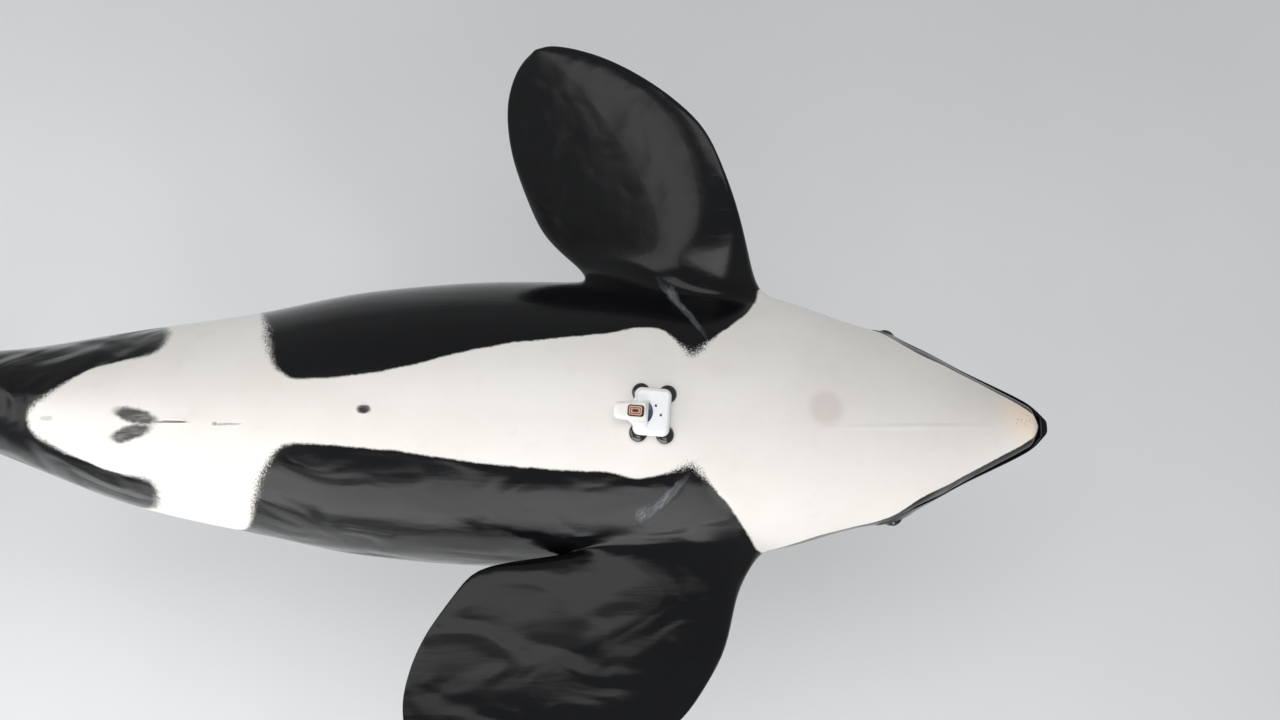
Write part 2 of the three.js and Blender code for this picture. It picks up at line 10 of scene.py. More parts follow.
import bmesh
import bpy
import numpy as np
from bpy.props import FloatProperty, FloatVectorProperty, IntProperty, PointerProperty
from mathutils import Matrix, Vector


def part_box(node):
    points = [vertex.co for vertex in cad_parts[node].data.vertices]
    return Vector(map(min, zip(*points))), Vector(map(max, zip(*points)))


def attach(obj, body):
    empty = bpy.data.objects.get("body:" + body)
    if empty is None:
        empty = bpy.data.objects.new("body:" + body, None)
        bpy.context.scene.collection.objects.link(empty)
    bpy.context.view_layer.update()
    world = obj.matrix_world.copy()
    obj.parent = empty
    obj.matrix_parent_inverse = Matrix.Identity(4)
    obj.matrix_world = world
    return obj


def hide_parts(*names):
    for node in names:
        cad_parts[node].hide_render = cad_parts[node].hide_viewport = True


bl_info = {
    "name": "Orca display model",
    "version": (1, 0, 0),
    "blender": (4, 5, 0),
    "location": "3D View > Sidebar > Orca",
    "description": "Skin, eyes, chest logger, stand and studio for a life-size orca",
    "category": "Object",
}

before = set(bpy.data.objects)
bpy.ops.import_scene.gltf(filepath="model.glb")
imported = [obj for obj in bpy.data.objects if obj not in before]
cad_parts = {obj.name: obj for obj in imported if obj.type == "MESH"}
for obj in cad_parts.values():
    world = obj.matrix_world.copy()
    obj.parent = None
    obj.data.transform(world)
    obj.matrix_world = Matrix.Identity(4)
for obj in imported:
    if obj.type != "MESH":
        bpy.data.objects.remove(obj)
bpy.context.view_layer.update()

# Driving sizes of the body, as in the solids
SNOUT_X = 2.3
AXIS_HEIGHT = 1.58
STOCK_END = 5.25
BODY_END = 5.34

# Nodes that the skin stands for, and nodes of the stand
SKIN_NODES = (
    "head", "lower_jaw", "neck", "torso_chest", "torso_belly", "torso_rump", "tail_stock",
    "flipper_right", "flipper_left", "dorsal_fin", "fluke_right", "fluke_left",
)
STAND_NODES = (
    "stand_base", "stand_foot_front", "stand_foot_rear", "stand_rod_front", "stand_rod_rear",
)

# Distance behind the snout, half width, depth to the belly (up), depth to the back (down)
BODY_ROWS = (
    (0.0, 0.024, 0.014, 0.042),
    (0.06, 0.084, 0.062, 0.132),
    (0.12, 0.119, 0.094, 0.204),
    (0.23, 0.172, 0.140, 0.294),
    (0.34, 0.224, 0.184, 0.354),
    (0.50, 0.306, 0.246, 0.410),
    (0.80, 0.408, 0.352, 0.462),
    (1.12, 0.500, 0.444, 0.492),
    (1.60, 0.546, 0.524, 0.516),
    (2.10, 0.554, 0.550, 0.525),
    (2.60, 0.520, 0.524, 0.508),
    (3.07, 0.430, 0.455, 0.465),
    (3.52, 0.350, 0.365, 0.400),
    (4.10, 0.204, 0.255, 0.300),
    (4.60, 0.122, 0.165, 0.196),
    (5.00, 0.084, 0.092, 0.108),
    (STOCK_END, 0.060, 0.036, 0.040),
    (BODY_END, 0.052, 0.015, 0.016),
)

# Cross-sections sharpen from here to the tail, the tail bends to the animal's right and down, and
# the head turns to its left
KEEL_START = 3.3
KEEL_SHARPNESS = 0.45
CURVE_START = 3.0
CURVE_LENGTH = 2.4
CURVE_SIDEWAYS = 0.400
CURVE_DOWN = 0.080
HEAD_TURN = -0.016
HEAD_TURN_START = 1.1
HEAD_TURN_END = 0.5

# Points that close the skin at the snout and at the notch of the tail
SNOUT_PROUD = 0.004
SNOUT_DROP = 0.012
TAIL_PROUD = 0.006

# Lower jaw and mouth. The distances behind the snout are those of the jaw's tip, the mouth's end,
# the end of its corner, and the place where the columns are evenly spread again
JAW_TIP = 0.036
JAW_TIP_START = 0.005
JAW_TIP_LENGTH = 0.042
MOUTH_RISE = math.tan(math.radians(8.5))
MOUTH_END = 0.50
CORNER_END = 0.60
CHART_END = 0.80
LIP_WIDTH = 0.015
LIP_LEAST = 0.004
GROOVE_DEPTH = 0.016
LEDGE_START = 0.017

# Turns from the line of the mouth to the columns of its groove and lip, the shares of the gap at
# which these two stand, and how far the lip sinks
GROOVE_TURN = math.radians(0.5)
LIP_TURN = math.radians(1.6)
LIP_END_TURN = math.radians(4)
GROOVE_SHARE = 0.12
LIP_SHARE = 0.45
LIP_SINK = 0.003

# Eye, cheek and blowhole
EYE_BEHIND = 0.616
EYE_ANGLE = math.radians(90)
EYE_RADIUS = 0.027
EYE_DEPTH = 0.013
CHEEK_SWELL = 0.022
CHEEK_LENGTH = 0.095
CHEEK_ANGLE = math.radians(17)
BLOWHOLE_BEHIND = 0.69

# The cage of the skin: its columns, those at the edge of the jaw, the groove and the edge of the
# lip, where each stretch of rings ends, and how many rings it has
COLUMNS = 48
HALF_COLUMNS = COLUMNS // 2
JAW_EDGE, GROOVE, LIP_OUTER = 9, 10, 12
FLIPPER_FROM, FLIPPER_TO = 1.12, 1.80
DORSAL_FROM, DORSAL_TO = 1.99, 2.87
FLUKE_FROM, FLUKE_TO = 4.74, 5.325
RING_STRETCHES = (
    (0.030, 3),
    (JAW_TIP, 1),
    (0.042, 1),
    (0.110, 6),
    (0.610, 14),
    (FLIPPER_FROM, 7),
    (FLIPPER_TO, 9),
    (DORSAL_FROM, 3),
    (DORSAL_TO, 10),
    (FLUKE_FROM, 20),
    (FLUKE_TO, 9),
    (BODY_END, 1),
)

# Flippers, dorsal fin and flukes: share of the span, leading edge, trailing edge, thickness. The
# roots of fin and flukes lie this far behind the snout, and the fin's this far below the axis
FLIPPER_SPAN = 1.274
FLIPPER_ROWS = (
    (0.0, 0.305, -0.325, 0.190),
    (0.12, 0.322, -0.262, 0.172),
    (0.3, 0.412, -0.360, 0.138),
    (0.5, 0.408, -0.502, 0.104),
    (0.7, 0.276, -0.512, 0.074),
    (0.86, 0.096, -0.466, 0.050),
    (0.96, -0.072, -0.364, 0.034),
    (1.0, -0.202, -0.216, 0.022),
)
DORSAL_HEIGHT = 1.030
DORSAL_BEHIND = 2.450
DORSAL_ROOT_DEPTH = 0.430
DORSAL_ROWS = (
    (0.0, 0.420, -0.400, 0.150),
    (0.12, 0.372, -0.338, 0.138),
    (0.35, 0.205, -0.262, 0.108),
    (0.6, 0.022, -0.250, 0.078),
    (0.82, -0.142, -0.278, 0.052),
    (0.95, -0.232, -0.300, 0.034),
    (1.0, -0.280, -0.306, 0.024),
)
FLUKE_SPAN = 0.730
FLUKE_BEHIND = 5.120
FLUKE_ROWS = (
    (0.0, 0.300, -0.232, 0.120),
    (0.1, 0.278, -0.266, 0.106),
    (0.3, 0.206, -0.300, 0.078),
    (0.55, 0.088, -0.304, 0.054),
    (0.8, -0.066, -0.296, 0.036),
    (0.95, -0.196, -0.296, 0.026),
    (1.0, -0.268, -0.300, 0.020),
)

# Root of the flippers' middle line: behind the snout, out from the middle, above the axis. Each
# flipper's side, then its sweep, raise and turn in degrees, and the share of span that it turns in
FLIPPER_ROOT = (1.424, 0.311, 0.148)
FLIPPER_POSES = {"right": (1, 20, 9, 41), "left": (-1, 33, 13, -5)}
FLIPPER_TURN_END = 0.3

# Section of a foil: place of its thickest point, taper to the trailing edge, thickness there, and
# the first place on its rounded nose
FOIL_CREST = 0.32
FOIL_TAPER = 1.5
FOIL_EDGE = 0.2
FOIL_NOSE_SHARE = 0.006

# Sections along a limb. The first lies this far outside the body and is searched for in steps
LIMB_RINGS = 13
LIMB_MARGIN = 0.030
LIMB_SEARCH_STEP = 0.01
LIMB_SEARCH_END = 0.6

# Columns of the cage at each limb's root
FLIPPER_COLUMNS = {"right": (8, 11), "left": (37, 40)}
DORSAL_COLUMNS = (23, 25)
FLUKE_COLUMNS = {"right": (10, 14), "left": (34, 38)}

# Fillets at the limbs' roots, and the mark that tells limb from body
FILLET_SHARE = 0.4
FILLET_LIMB = 0.45
ROOT_RINGS = 2
ROOT_SMOOTHINGS = {"flipper": 6, "dorsal": 2, "fluke": 1}
SMOOTHING = 0.5

# From this share of the way to a patch's edge, a vertex counts as on the edge
PATCH_EDGE = 0.99

# Columns are drawn together at both ends of a limb's root and spread between them: the root's
# middle column, how many columns take part, and where the ends lie, with their reach
GATHERING = 0.62
SPREADING = 0.34
SPREADING_REACH = 0.7
GATHERINGS = (
    (9.5, 3.2, (FLIPPER_FROM, 0.09), (FLIPPER_TO, 0.14)),
    (38.5, 3.2, (FLIPPER_FROM, 0.09), (FLIPPER_TO, 0.14)),
    (24.0, 2.4, (DORSAL_FROM, 0.12), (DORSAL_TO, 0.14)),
)

# Edge of the white belly: distance behind the snout, then degrees from the middle of the belly
# on the right and on the left
WHITE_EDGE = (
    (0.048, 0, 0),
    (0.062, 20, 22),
    (0.090, 32, 34),
    (0.145, 44, 44),
    (0.280, 54, 54),
    (0.400, 56, 58),
    (0.505, 56, 59),
    (0.570, 62, 65),
    (0.630, 71, 73),
    (0.710, 79, 78),
    (0.820, 82, 78),
    (0.930, 84, 76),
    (1.050, 86, 79),
    (1.110, 80, 80),
    (1.145, 64, 71),
    (1.185, 51, 62),
    (1.220, 43, 54),
    (1.265, 37, 43),
    (1.350, 27, 30),
    (1.412, 20.5, 22.5),
    (1.447, 24, 23),
    (1.520, 31.5, 25.5),
    (1.610, 32, 27),
    (1.710, 29, 24.5),
    (1.870, 26.5, 23.5),
    (2.090, 23, 21.5),
    (2.250, 19, 19.5),
    (2.400, 15, 17.2),
    (2.550, 12.2, 16),
    (2.760, 11.2, 15),
    (2.836, 13.5, 16.5),
    (2.888, 19.5, 22.5),
    (2.935, 32.5, 32.5),
    (2.970, 45, 44),
    (3.010, 57, 58),
    (3.080, 76, 76),
    (3.220, 94, 94),
    (3.450, 108, 108),
    (3.750, 117, 117),
    (4.020, 120, 120),
    (4.085, 117, 117),
    (3.980, 110, 110),
    (3.750, 98, 98),
    (3.580, 87, 88),
    (3.470, 76, 78),
    (3.390, 60, 64),
    (3.352, 46, 50),
    (3.375, 34, 42),
    (3.482, 30, 41),
    (3.575, 27, 39.5),
    (3.640, 23.5, 36),
    (3.700, 21.5, 29),
    (3.750, 19, 21),
    (3.800, 13.5, 15),
    (3.830, 6.5, 9.5),
    (3.838, 0, 0),
)
EDGE_SAMPLES = 8

# The rear end of the white lies off the middle, to the animal's left
WHITE_END_FROM, WHITE_END_TO = 3.60, 3.82
WHITE_END_DRIFT = math.radians(15)
WHITE_END_REACH = math.radians(50)
WHITE_END_HOLD = 0.8

# Where the edge of the white is stippled: behind the snout, out from the middle, reach
FUZZ_PLACES = (
    (1.405, 0.19, 0.075),
    (2.95, 0.27, 0.15),
    (3.36, 0.30, 0.12),
    (3.75, 0.04, 0.10),
)

# How far the limbs are pushed out of the white and the saddle, and from which share of the mark
WHITE_OFF_LIMBS, SADDLE_OFF_LIMBS = 0.4, 0.3
LIMB_MARK_START, LIMB_MARK_RISE = 0.4, 2

# White patch behind and above each eye, grey saddle behind the dorsal fin, and the black margins
# round the white of the flukes
EYE_PATCH = {"behind": 0.94, "angle": math.radians(122), "length": 0.22, "width": 0.075, "tilt": 0.16}
SADDLE = {"behind": 3.06, "angle": math.radians(158), "length": 0.42, "width": 0.17, "tilt": -0.35}
FLUKE_LEAD_MARGIN, FLUKE_TRAIL_MARGIN = 0.034, 0.070
FLUKE_TIP_MARGIN = 0.12
FLUKE_ROUNDING = 0.10
FLUKE_FUZZ = 0.12

# Mark of the flukes' lower side, which faces up: its start and rise along the root, the least
# mark that counts, and the room that it gives the white
UPPER_START, UPPER_RISE = 0.2, 4
UPPER_LEAST = 0.02
UPPER_ROOM = 0.1

# Navel and slit: distance behind the snout and sideways place
NAVEL = (2.546, -0.014)
SLIT = (3.242, -0.042)

# Rings of skin from the outermost in: half length, half width, lift off the skin
NAVEL_RINGS = (
    (0.034, 0.026, 0.001),
    (0.025, 0.017, 0.003),
    (0.017, 0.010, -0.003),
    (0.010, 0.005, -0.010),
)
SLIT_RINGS = (
    (0.085, 0.014, 0.0),
    (0.078, 0.0065, 0.0012),
    (0.072, 0.0018, -0.001),
    (0.068, 0.0008, -0.010),
)
LID_FOLDS = (
    (0.078, 0.052, 0.0),
    (0.062, 0.039, 0.0016),
    (0.052, 0.031, 0.0002),
)
LID_INSIDE = (0.018, 0.008, -0.012)

# Rings of the lids: half length, half width, distance from the eyeball, how far they sink
LID_RINGS = (
    (0.044, 0.0265, 0.0065, 0.0),
    (0.034, 0.0190, 0.0055, 0.0),
    (0.0275, 0.0135, 0.0028, 0.0),
    (0.0255, 0.0112, 0.0002, 0.0015),
)
LID_POINTEDNESS = 1.25

# Rings of the blowhole: half length, half width, bend of its ends, lift off the skin
BLOWHOLE_RINGS = (
    (0.070, 0.090, 0.012, 0.0),
    (0.042, 0.074, 0.022, 0.007),
    (0.022, 0.062, 0.030, 0.008),
    (0.009, 0.054, 0.033, 0.001),
    (0.006, 0.050, 0.033, -0.014),
    (0.005, 0.046, 0.033, -0.028),
)

# Dark marks on the belly: behind the snout, sideways, half length, half width, turn, strength, and
# how far the edge wanders. Navel, slit, the two ovals beside it, then faint marks on the middle
BELLY_MARKS = (
    (*NAVEL, 0.030, 0.019, 0.0, 0.97, 0.008),
    (3.262, -0.045, 0.105, 0.0035, -0.03, 0.85, 0.002),
    (3.398, -0.018, 0.122, 0.033, -0.22, 0.97, 0.016),
    (3.418, -0.080, 0.122, 0.035, 0.24, 0.97, 0.016),
    (3.040, -0.057, 0.070, 0.0045, 0.02, 0.45, 0.004),
    (3.086, -0.055, 0.012, 0.008, 0.0, 0.55, 0.004),
    (3.759, -0.024, 0.036, 0.012, 0.0, 0.30, 0.010),
)
MARK_DEPTH = 0.06
MARK_SOFTNESS = 0.45

# Tinted spots on the white: behind the snout, sideways, half sizes, softness, strength
CHIN_SPOT = (0.10, 0.012, (0.24, 0.14, 0.12), 0.90, 0.95)
THROAT_SPOT = (0.933, 0.008, (0.088, 0.084, 0.12), 0.55, 0.42)
TIP_SPOT = (0.130, 0.004, (0.075, 0.050, 0.06), 0.6, 0.75)

# Fold along the head: behind the snout, sideways, half sizes, turn, height. Then the heights of
# the fine folds and of the skin's grain
HEAD_FOLD = (0.58, -0.045, (0.46, 0.016, 0.6), 0.05, 0.0018)
FINE_FOLD_HEIGHT = 0.0008
GRAIN_HEIGHT = 0.0003

# Creases in the black, each with a painted highlight along it: first and last place (behind, degrees),
# width and strength
CREASES = (
    ((1.532, 63), (1.350, 28), 0.020, 0.9),
    ((1.500, 60), (1.452, 46), 0.030, 0.8),
    ((1.600, -47), (1.425, -26), 0.026, 0.9),
    ((1.610, -47), (1.560, -38), 0.034, 0.8),
    ((0.288, -63), (0.312, -72), 0.008, 0.9),
)
CREASE_REACH = 0.6
CREASE_DEPTH = 0.09
CREASE_HEIGHT = 0.003
CREASE_SOFTNESS = 0.9
CREASE_WANDER = 0.012
CREASE_FIBRES = (1.3, 2.6, 0.6)

# Where the wet black is uneven: axis, where it starts and ends to grow, its least and its most
WET_SIDES = (
    ("Y", -0.02, -0.30, 0.08, 1.0),
    ("X", -0.95, -1.30, 0.0, 1.8),
    ("Y", 0.55, 0.85, 0.0, 0.45),
)

# Broken edge of the white, as shares of the panel's edge fuzz, then wander and blur in metres
EDGE_LEAST, EDGE_MOST, EDGE_RAGGED = 0.6, 11, 0.8
EDGE_WANDER, SADDLE_WANDER = 0.014, 0.09
EDGE_BLUR, EDGE_BLUR_AT_FUZZ = 0.005, 0.014

# Shades of the skin besides those in the panel, and how much rougher its white is than its black
WHITE_CLOUD = (0.81, 0.772, 0.726)
WHITE_PATCH = (0.71, 0.688, 0.66)
THROAT_PINK = (0.60, 0.50, 0.47)
TIP_BROWN = (0.42, 0.33, 0.27)
MARK_DARK = (0.040, 0.034, 0.033)
BLACK_CLOUD = (0.0055, 0.0058, 0.0065)
BLACK_GRAIN = (0.008, 0.0083, 0.009)
SADDLE_GREY = (0.17, 0.174, 0.18)
SCRATCH_GREY = (0.10, 0.102, 0.105)
# Pale grey of the painted highlight along the creases
CREASE_HIGHLIGHT_GREY = (0.26, 0.27, 0.29)
WHITE_ROUGHER = 0.24

# Shades of the eyes and of the logger's small parts, and how much darker stains are
EYE_BROWN = (0.010, 0.006, 0.005)
RUBBER_BLACK = (0.010, 0.010, 0.011)
CUP_BLACK = (0.007, 0.007, 0.008)
SLOT_BROWN = (0.050, 0.022, 0.015)
# Dark blue of the crescent plate, painted shade for the shadow gap at the pod's front, with lighter
# speckles
GAP_SHADE_BLUE = (0.012, 0.026, 0.075)
GAP_SHADE_SPECKLE = (0.10, 0.19, 0.36)
STAIN_SHADE = 0.92

# Logger: its place on the chest, then sizes in its own frame, X to the snout, Z off the skin
TAG_BEHIND = 1.551
TAG_SIDE = -0.027
TAG_TURN = math.radians(-4)
TAG_FOOT = 0.0123
GAP = 0.0003
TAG_LENGTH = 0.112
TAG_WIDTH = 0.149
TAG_SHIFT = -0.005
TAG_SIDE_SHIFT = 0.004
TAG_HEIGHT = 0.030
TAG_CORNER = 0.018
TAG_SLACK = 0.02
POD_FRONT = -0.024
POD_FRONT_LEAN = 0.009
POD_BACK = -0.133
POD_SIDE = -0.001
POD_ROOT_WIDTH = 0.065
POD_END_WIDTH = 0.048
POD_END_CORNER = 0.013
POD_HEIGHT = 0.020
POD_BEVEL = 0.006
FLANGE_X, FLANGE_SIDE = -0.042, -0.010
FLANGE_LENGTH, FLANGE_WIDTH, FLANGE_HEIGHT = 0.036, 0.088, 0.004
FLANGE_CORNER, FLANGE_BEVEL = 0.005, 0.0015
BUTTRESS_FOOT, BUTTRESS_HEIGHT, BUTTRESS_BEVEL = TAG_FOOT + 0.004, TAG_HEIGHT - 0.006, 0.0015
BUTTRESS_ROOT, BUTTRESS_END, BUTTRESS_LENGTH = 0.056, 0.029, 0.034
BUTTRESS_STEPS, BUTTRESS_CURVE = 10, 2.4
WINDOW_X = -0.066
WINDOW_LENGTH = 0.055
WINDOW_WIDTH = 0.038
RIM_CORNER, RIM_HEIGHT, RIM_BEVEL = 0.009, 0.0030, 0.0008
RIM_SIDE, RIM_FRONT = 0.0035, 0.0040
RING_CORNER, RING_HEIGHT = 0.007, 0.0040
RING_STEPS = ((0.0042, 0.0), (0.0006, -0.0014), (0.0016, 0.0), (0.0006, 0.0012))
SLOT_LENGTH, SLOT_WIDTH, SLOT_CORNER = 0.021, 0.0105, 0.003
SLOT_FOOT, SLOT_HEIGHT, SLOT_BEVEL = 0.002, 0.0025, 0.0004
TRIM_HEIGHT = 0.002
# Crescent plate at the pod's front: a dark sheet of painted shade where the gap there lies in shadow
CRESCENT_X = -0.022
CRESCENT_HALF = 0.035
CRESCENT_RISE = 0.016
CRESCENT_STEPS, CRESCENT_BEVEL = 20, 0.0005
BUTTON_PLACES = ((0.003, 0.023), (0.022, -0.008))
BUTTON_RADIUS, BUTTON_SIDES, BUTTON_BEVEL = 0.0035, 24, 0.0006
CORNER_STEPS = 8
PLATE_SEGMENTS, TRIM_SEGMENTS = 4, 2

# Suction cups: their places, and the profile of a bell from the top out and down to its rim
CUP_OFFSET = (0.046, 0.070)
CUP_SIDES = 48
MERGE_DISTANCE = 1e-5
CUP_PROFILE = (
    (0.0, 0.012),
    (0.012, 0.012),
    (0.0145, 0.009),
    (0.019, 0.0075),
    (0.026, 0.003),
    (0.0315, -0.0015),
    (0.0318, -0.003),
    (0.029, -0.0035),
    (0.020, -0.003),
    (0.0, -0.003),
)

# Corners of a rectangle, counter-clockwise from the front right
CORNERS = ((1, 1), (-1, 1), (-1, -1), (1, -1))

# Studio: soft lights (name, place, aim, width, height, watts), sky, floor and frame
LIGHTS = (
    ("overhead", (0.6, 2.3, 8.6), (0.6, 0.0, 1.6), 9.0, 3.8, 225.0),
    ("left_bank", (-1.2, -7.0, 3.9), (0.3, 0.0, 1.7), 11.0, 5.5, 640.0),
    ("tail_bank", (-9.0, -1.0, 7.0), (0.5, 1.0, 1.8), 9.0, 5.0, 270.0),
)
SKY_COLOR = (0.965, 0.98, 1.0, 1)
SKY_STRENGTH = 0.38
FLOOR_HALF = 60.0
FLOOR_SHADE = 0.97
FRAME_WIDTH = 1280
SENSOR_WIDTH = 36.0

# Distance and angle to both sides of a point that give the surface's directions there
FRAME_STEP, FRAME_TURN = 0.004, 0.02

# Guards for divisions and for places that are the same but for rounding
TINY = 1e-12
TINY_STEP = 1e-6


def smooth_step(value):
    """0 to 1 along an S-curve, held at both ends."""
    held = np.clip(value, 0.0, 1.0)
    return held * held * (3 - 2 * held)


def smooth_through(places, values):
    """A curve through the values at their places that never overshoots them."""
    places = np.array(places, float)
    values = np.array(values, float)
    widths = np.diff(places)
    slopes = np.diff(values) / widths
    total = slopes[:-1] + slopes[1:]
    same_way = slopes[:-1] * slopes[1:] > 0
    inner = np.where(same_way, 2 * slopes[:-1] * slopes[1:] / np.where(same_way, total, 1), 0)
    tangents = np.concatenate([slopes[:1], inner, slopes[-1:]])

    def curve(place):
        i = np.clip(np.searchsorted(places, place) - 1, 0, len(widths) - 1)
        t = (place - places[i]) / widths[i]
        rise = values[i + 1] - values[i]
        start = tangents[i] * widths[i] - rise
        end = rise - tangents[i + 1] * widths[i]
        return values[i] + rise * t + t * (1 - t) * (start * (1 - t) + end * t)

    return curve


def curves_of(rows):
    """One curve for each column after the first, over the first."""
    columns = list(zip(*rows))
    return [smooth_through(columns[0], column) for column in columns[1:]]


half_width, belly_depth, back_depth = curves_of(BODY_ROWS)


# The body's surface

def keel(behind):
    """1 where the cross-section is round, and more where its sides are drawn in."""
    return 1 + KEEL_SHARPNESS * smooth_step((behind - KEEL_START) / (STOCK_END - KEEL_START))


def tail_curve(behind):
    """Sideways shift, downward shift, and the shift's slope over its size."""
    t = np.maximum(0.0, behind - CURVE_START) / CURVE_LENGTH
    return CURVE_SIDEWAYS * t * t, CURVE_DOWN * t * t, 2 * t / CURVE_LENGTH


def middle_y(behind):
    """Sideways place of the body's middle line."""
    turn = smooth_step((HEAD_TURN_START - behind) / (HEAD_TURN_START - HEAD_TURN_END))
    return tail_curve(behind)[0] + HEAD_TURN * turn


def middle_z(behind):
    """Height of the body's middle line."""
    return AXIS_HEIGHT - tail_curve(behind)[1]


def width_at(behind, angle):
    """Half width, with the swelling of the cheek round the eye."""
    along = (behind - EYE_BEHIND) / CHEEK_LENGTH
    around = (np.arccos(np.cos(angle)) - EYE_ANGLE) / CHEEK_ANGLE
    return half_width(behind) + CHEEK_SWELL * np.exp(-along * along - around * around)


def body_point(behind, angle):
    """A point of the surface. The angle is 0 on the middle of the belly and grows towards the
    animal's right."""
    side = math.sin(angle)
    up = math.cos(angle)
    depth = belly_depth(behind) if up > 0 else back_depth(behind)
    across = width_at(behind, angle) * abs(side) ** float(keel(behind))
    return Vector((
        SNOUT_X - behind,
        middle_y(behind) + math.copysign(across, side),
        middle_z(behind) + depth * up,
    ))


def body_frame(behind, angle):
    """Place, forward, across (towards growing angles) and outward at a point of the surface."""
    step, turn = FRAME_STEP, FRAME_TURN
    place = body_point(behind, angle)
    centre = Vector((SNOUT_X - behind, middle_y(behind), AXIS_HEIGHT))
    forward = body_point(behind - step, angle) - body_point(behind + step, angle)
    across = body_point(behind, angle + turn) - body_point(behind, angle - turn)
    forward.normalize()
    across.normalize()
    outward = forward.cross(across).normalized()
    if outward.dot(place - centre) < 0:
        outward.negate()
    return place, forward, across, outward


def angle_of(behind, y):
    """Angle from the middle of the belly at a sideways place."""
    return math.asin((y - float(middle_y(behind))) / float(half_width(behind)))


def size_round(behind):
    """Mean radius of the body, to turn angles into lengths."""
    return (half_width(behind) + (belly_depth(behind) + back_depth(behind)) / 2) / 2


def charted(points):
    """Distance behind the snout, angle from the belly (0 to pi), side and share of the way out."""
    behind = np.clip(SNOUT_X - points[:, 0], 0.0, BODY_END)
    y = points[:, 1] - middle_y(behind)
    z = points[:, 2] - middle_z(behind)
    depth = np.where(z > 0, belly_depth(behind), back_depth(behind))
    across = (np.abs(y) / half_width(behind)) ** (1 / keel(behind))
    angle = np.arctan2(across, z / depth)
    return behind, angle, np.where(y < 0, -1, 1), np.hypot(across, z / depth)


# The cage of the skin

def ring_places():
    """Distances of the rings behind the snout."""
    places = [0.0]
    for end, count in RING_STRETCHES:
        start = places[-1]
        places += [start + (end - start) * (i + 1) / count for i in range(count)]
    return places


def column_angles(behind):
    """Angles of the columns from belly to back, and how far they gather along the mouth."""
    even = [math.pi * k / HALF_COLUMNS for k in range(HALF_COLUMNS + 1)]
    mouth = math.acos(min(MOUTH_RISE * behind / float(belly_depth(behind)), 1))
    outer = mouth + LIP_END_TURN
    gathered = [mouth * k / JAW_EDGE for k in range(GROOVE)]
    gathered += [mouth + GROOVE_TURN, mouth + LIP_TURN]
    gathered += [outer + (math.pi - outer) * (k - LIP_OUTER) / (HALF_COLUMNS - LIP_OUTER)
                 for k in range(LIP_OUTER, HALF_COLUMNS + 1)]
    held = 1 - float(smooth_step((behind - MOUTH_END) / (CHART_END - MOUTH_END)))
    return [a + (b - a) * held for a, b in zip(even, gathered)], held


def cage_ring(behind):
    """Points of one ring of the cage, right side first, with the jaw, the mouth and the lips."""
    angles, held = column_angles(behind)
    fade = 1 - float(smooth_step((behind - JAW_TIP) / (MOUTH_END - JAW_TIP)))
    groove = GROOVE_DEPTH * (1 - float(smooth_step((behind - MOUTH_END) / (CORNER_END - MOUTH_END))))
    jaw_length = behind - JAW_TIP + JAW_TIP_START
    rise = math.sqrt(min(max(jaw_length, 0.0) / JAW_TIP_LENGTH, 1))
    squeeze = rise * (1 - LIP_WIDTH * fade / float(half_width(behind)))
    in_front = behind < JAW_TIP - TINY_STEP
    at_tip = behind < JAW_TIP + TINY_STEP
    mouth = MOUTH_RISE * behind
    centre = float(middle_y(behind))
    outer_y = body_point(behind, angles[LIP_OUTER]).y - centre
    edge_y = width_at(behind, angles[JAW_EDGE]) * math.sin(angles[JAW_EDGE]) * squeeze
    room = max(outer_y - edge_y, LIP_LEAST)
    ledge = LEDGE_START * behind / JAW_TIP
    half = []
    for k in range(HALF_COLUMNS + 1):
        point = body_point(behind, angles[k])
        y = point.y - centre
        z = point.z - AXIS_HEIGHT
        if behind >= CORNER_END or k >= LIP_OUTER:
            pass
        elif at_tip:
            if k <= JAW_EDGE:
                y = ledge * k / JAW_EDGE
            else:
                y = ledge + (outer_y - ledge) * (k - JAW_EDGE) / (LIP_OUTER - JAW_EDGE)
            z = mouth if in_front or k > GROOVE else mouth - groove
        elif k <= JAW_EDGE:
            y *= squeeze
            z *= rise
        elif k == GROOVE:
            y = edge_y + GROOVE_SHARE * room
            z = z * rise - groove
        else:
            y = edge_y + LIP_SHARE * room
            z = max(z, mouth * held - LIP_SINK)
        half.append((y, z))
    x = SNOUT_X - behind
    right = [Vector((x, centre + y, AXIS_HEIGHT + z)) for y, z in half]
    left = [Vector((x, centre - y, AXIS_HEIGHT + z)) for y, z in reversed(half[1:-1])]
    return right + left


def gathered_column(behind, k):
    """Place of a column, drawn towards a limb's middle line near the ends of its root."""
    moved = float(k)
    for middle, spread, first, last in GATHERINGS:
        off = k - middle
        for end, reach in (first, last):
            near = math.exp(-((behind - end) / reach) ** 2 - (off / spread) ** 2)
            moved -= GATHERING * off * near
        centre, half = (first[0] + last[0]) / 2, (last[0] - first[0]) / 2
        near = math.exp(-((behind - centre) / (SPREADING_REACH * half)) ** 4 - (off / spread) ** 2)
        moved += SPREADING * off * near
    return moved


def stock_ring(behind):
    """Points of one ring behind the head, its columns gathered at the roots of the limbs."""
    return [body_point(behind, 2 * math.pi * gathered_column(behind, k) / COLUMNS)
            for k in range(COLUMNS)]


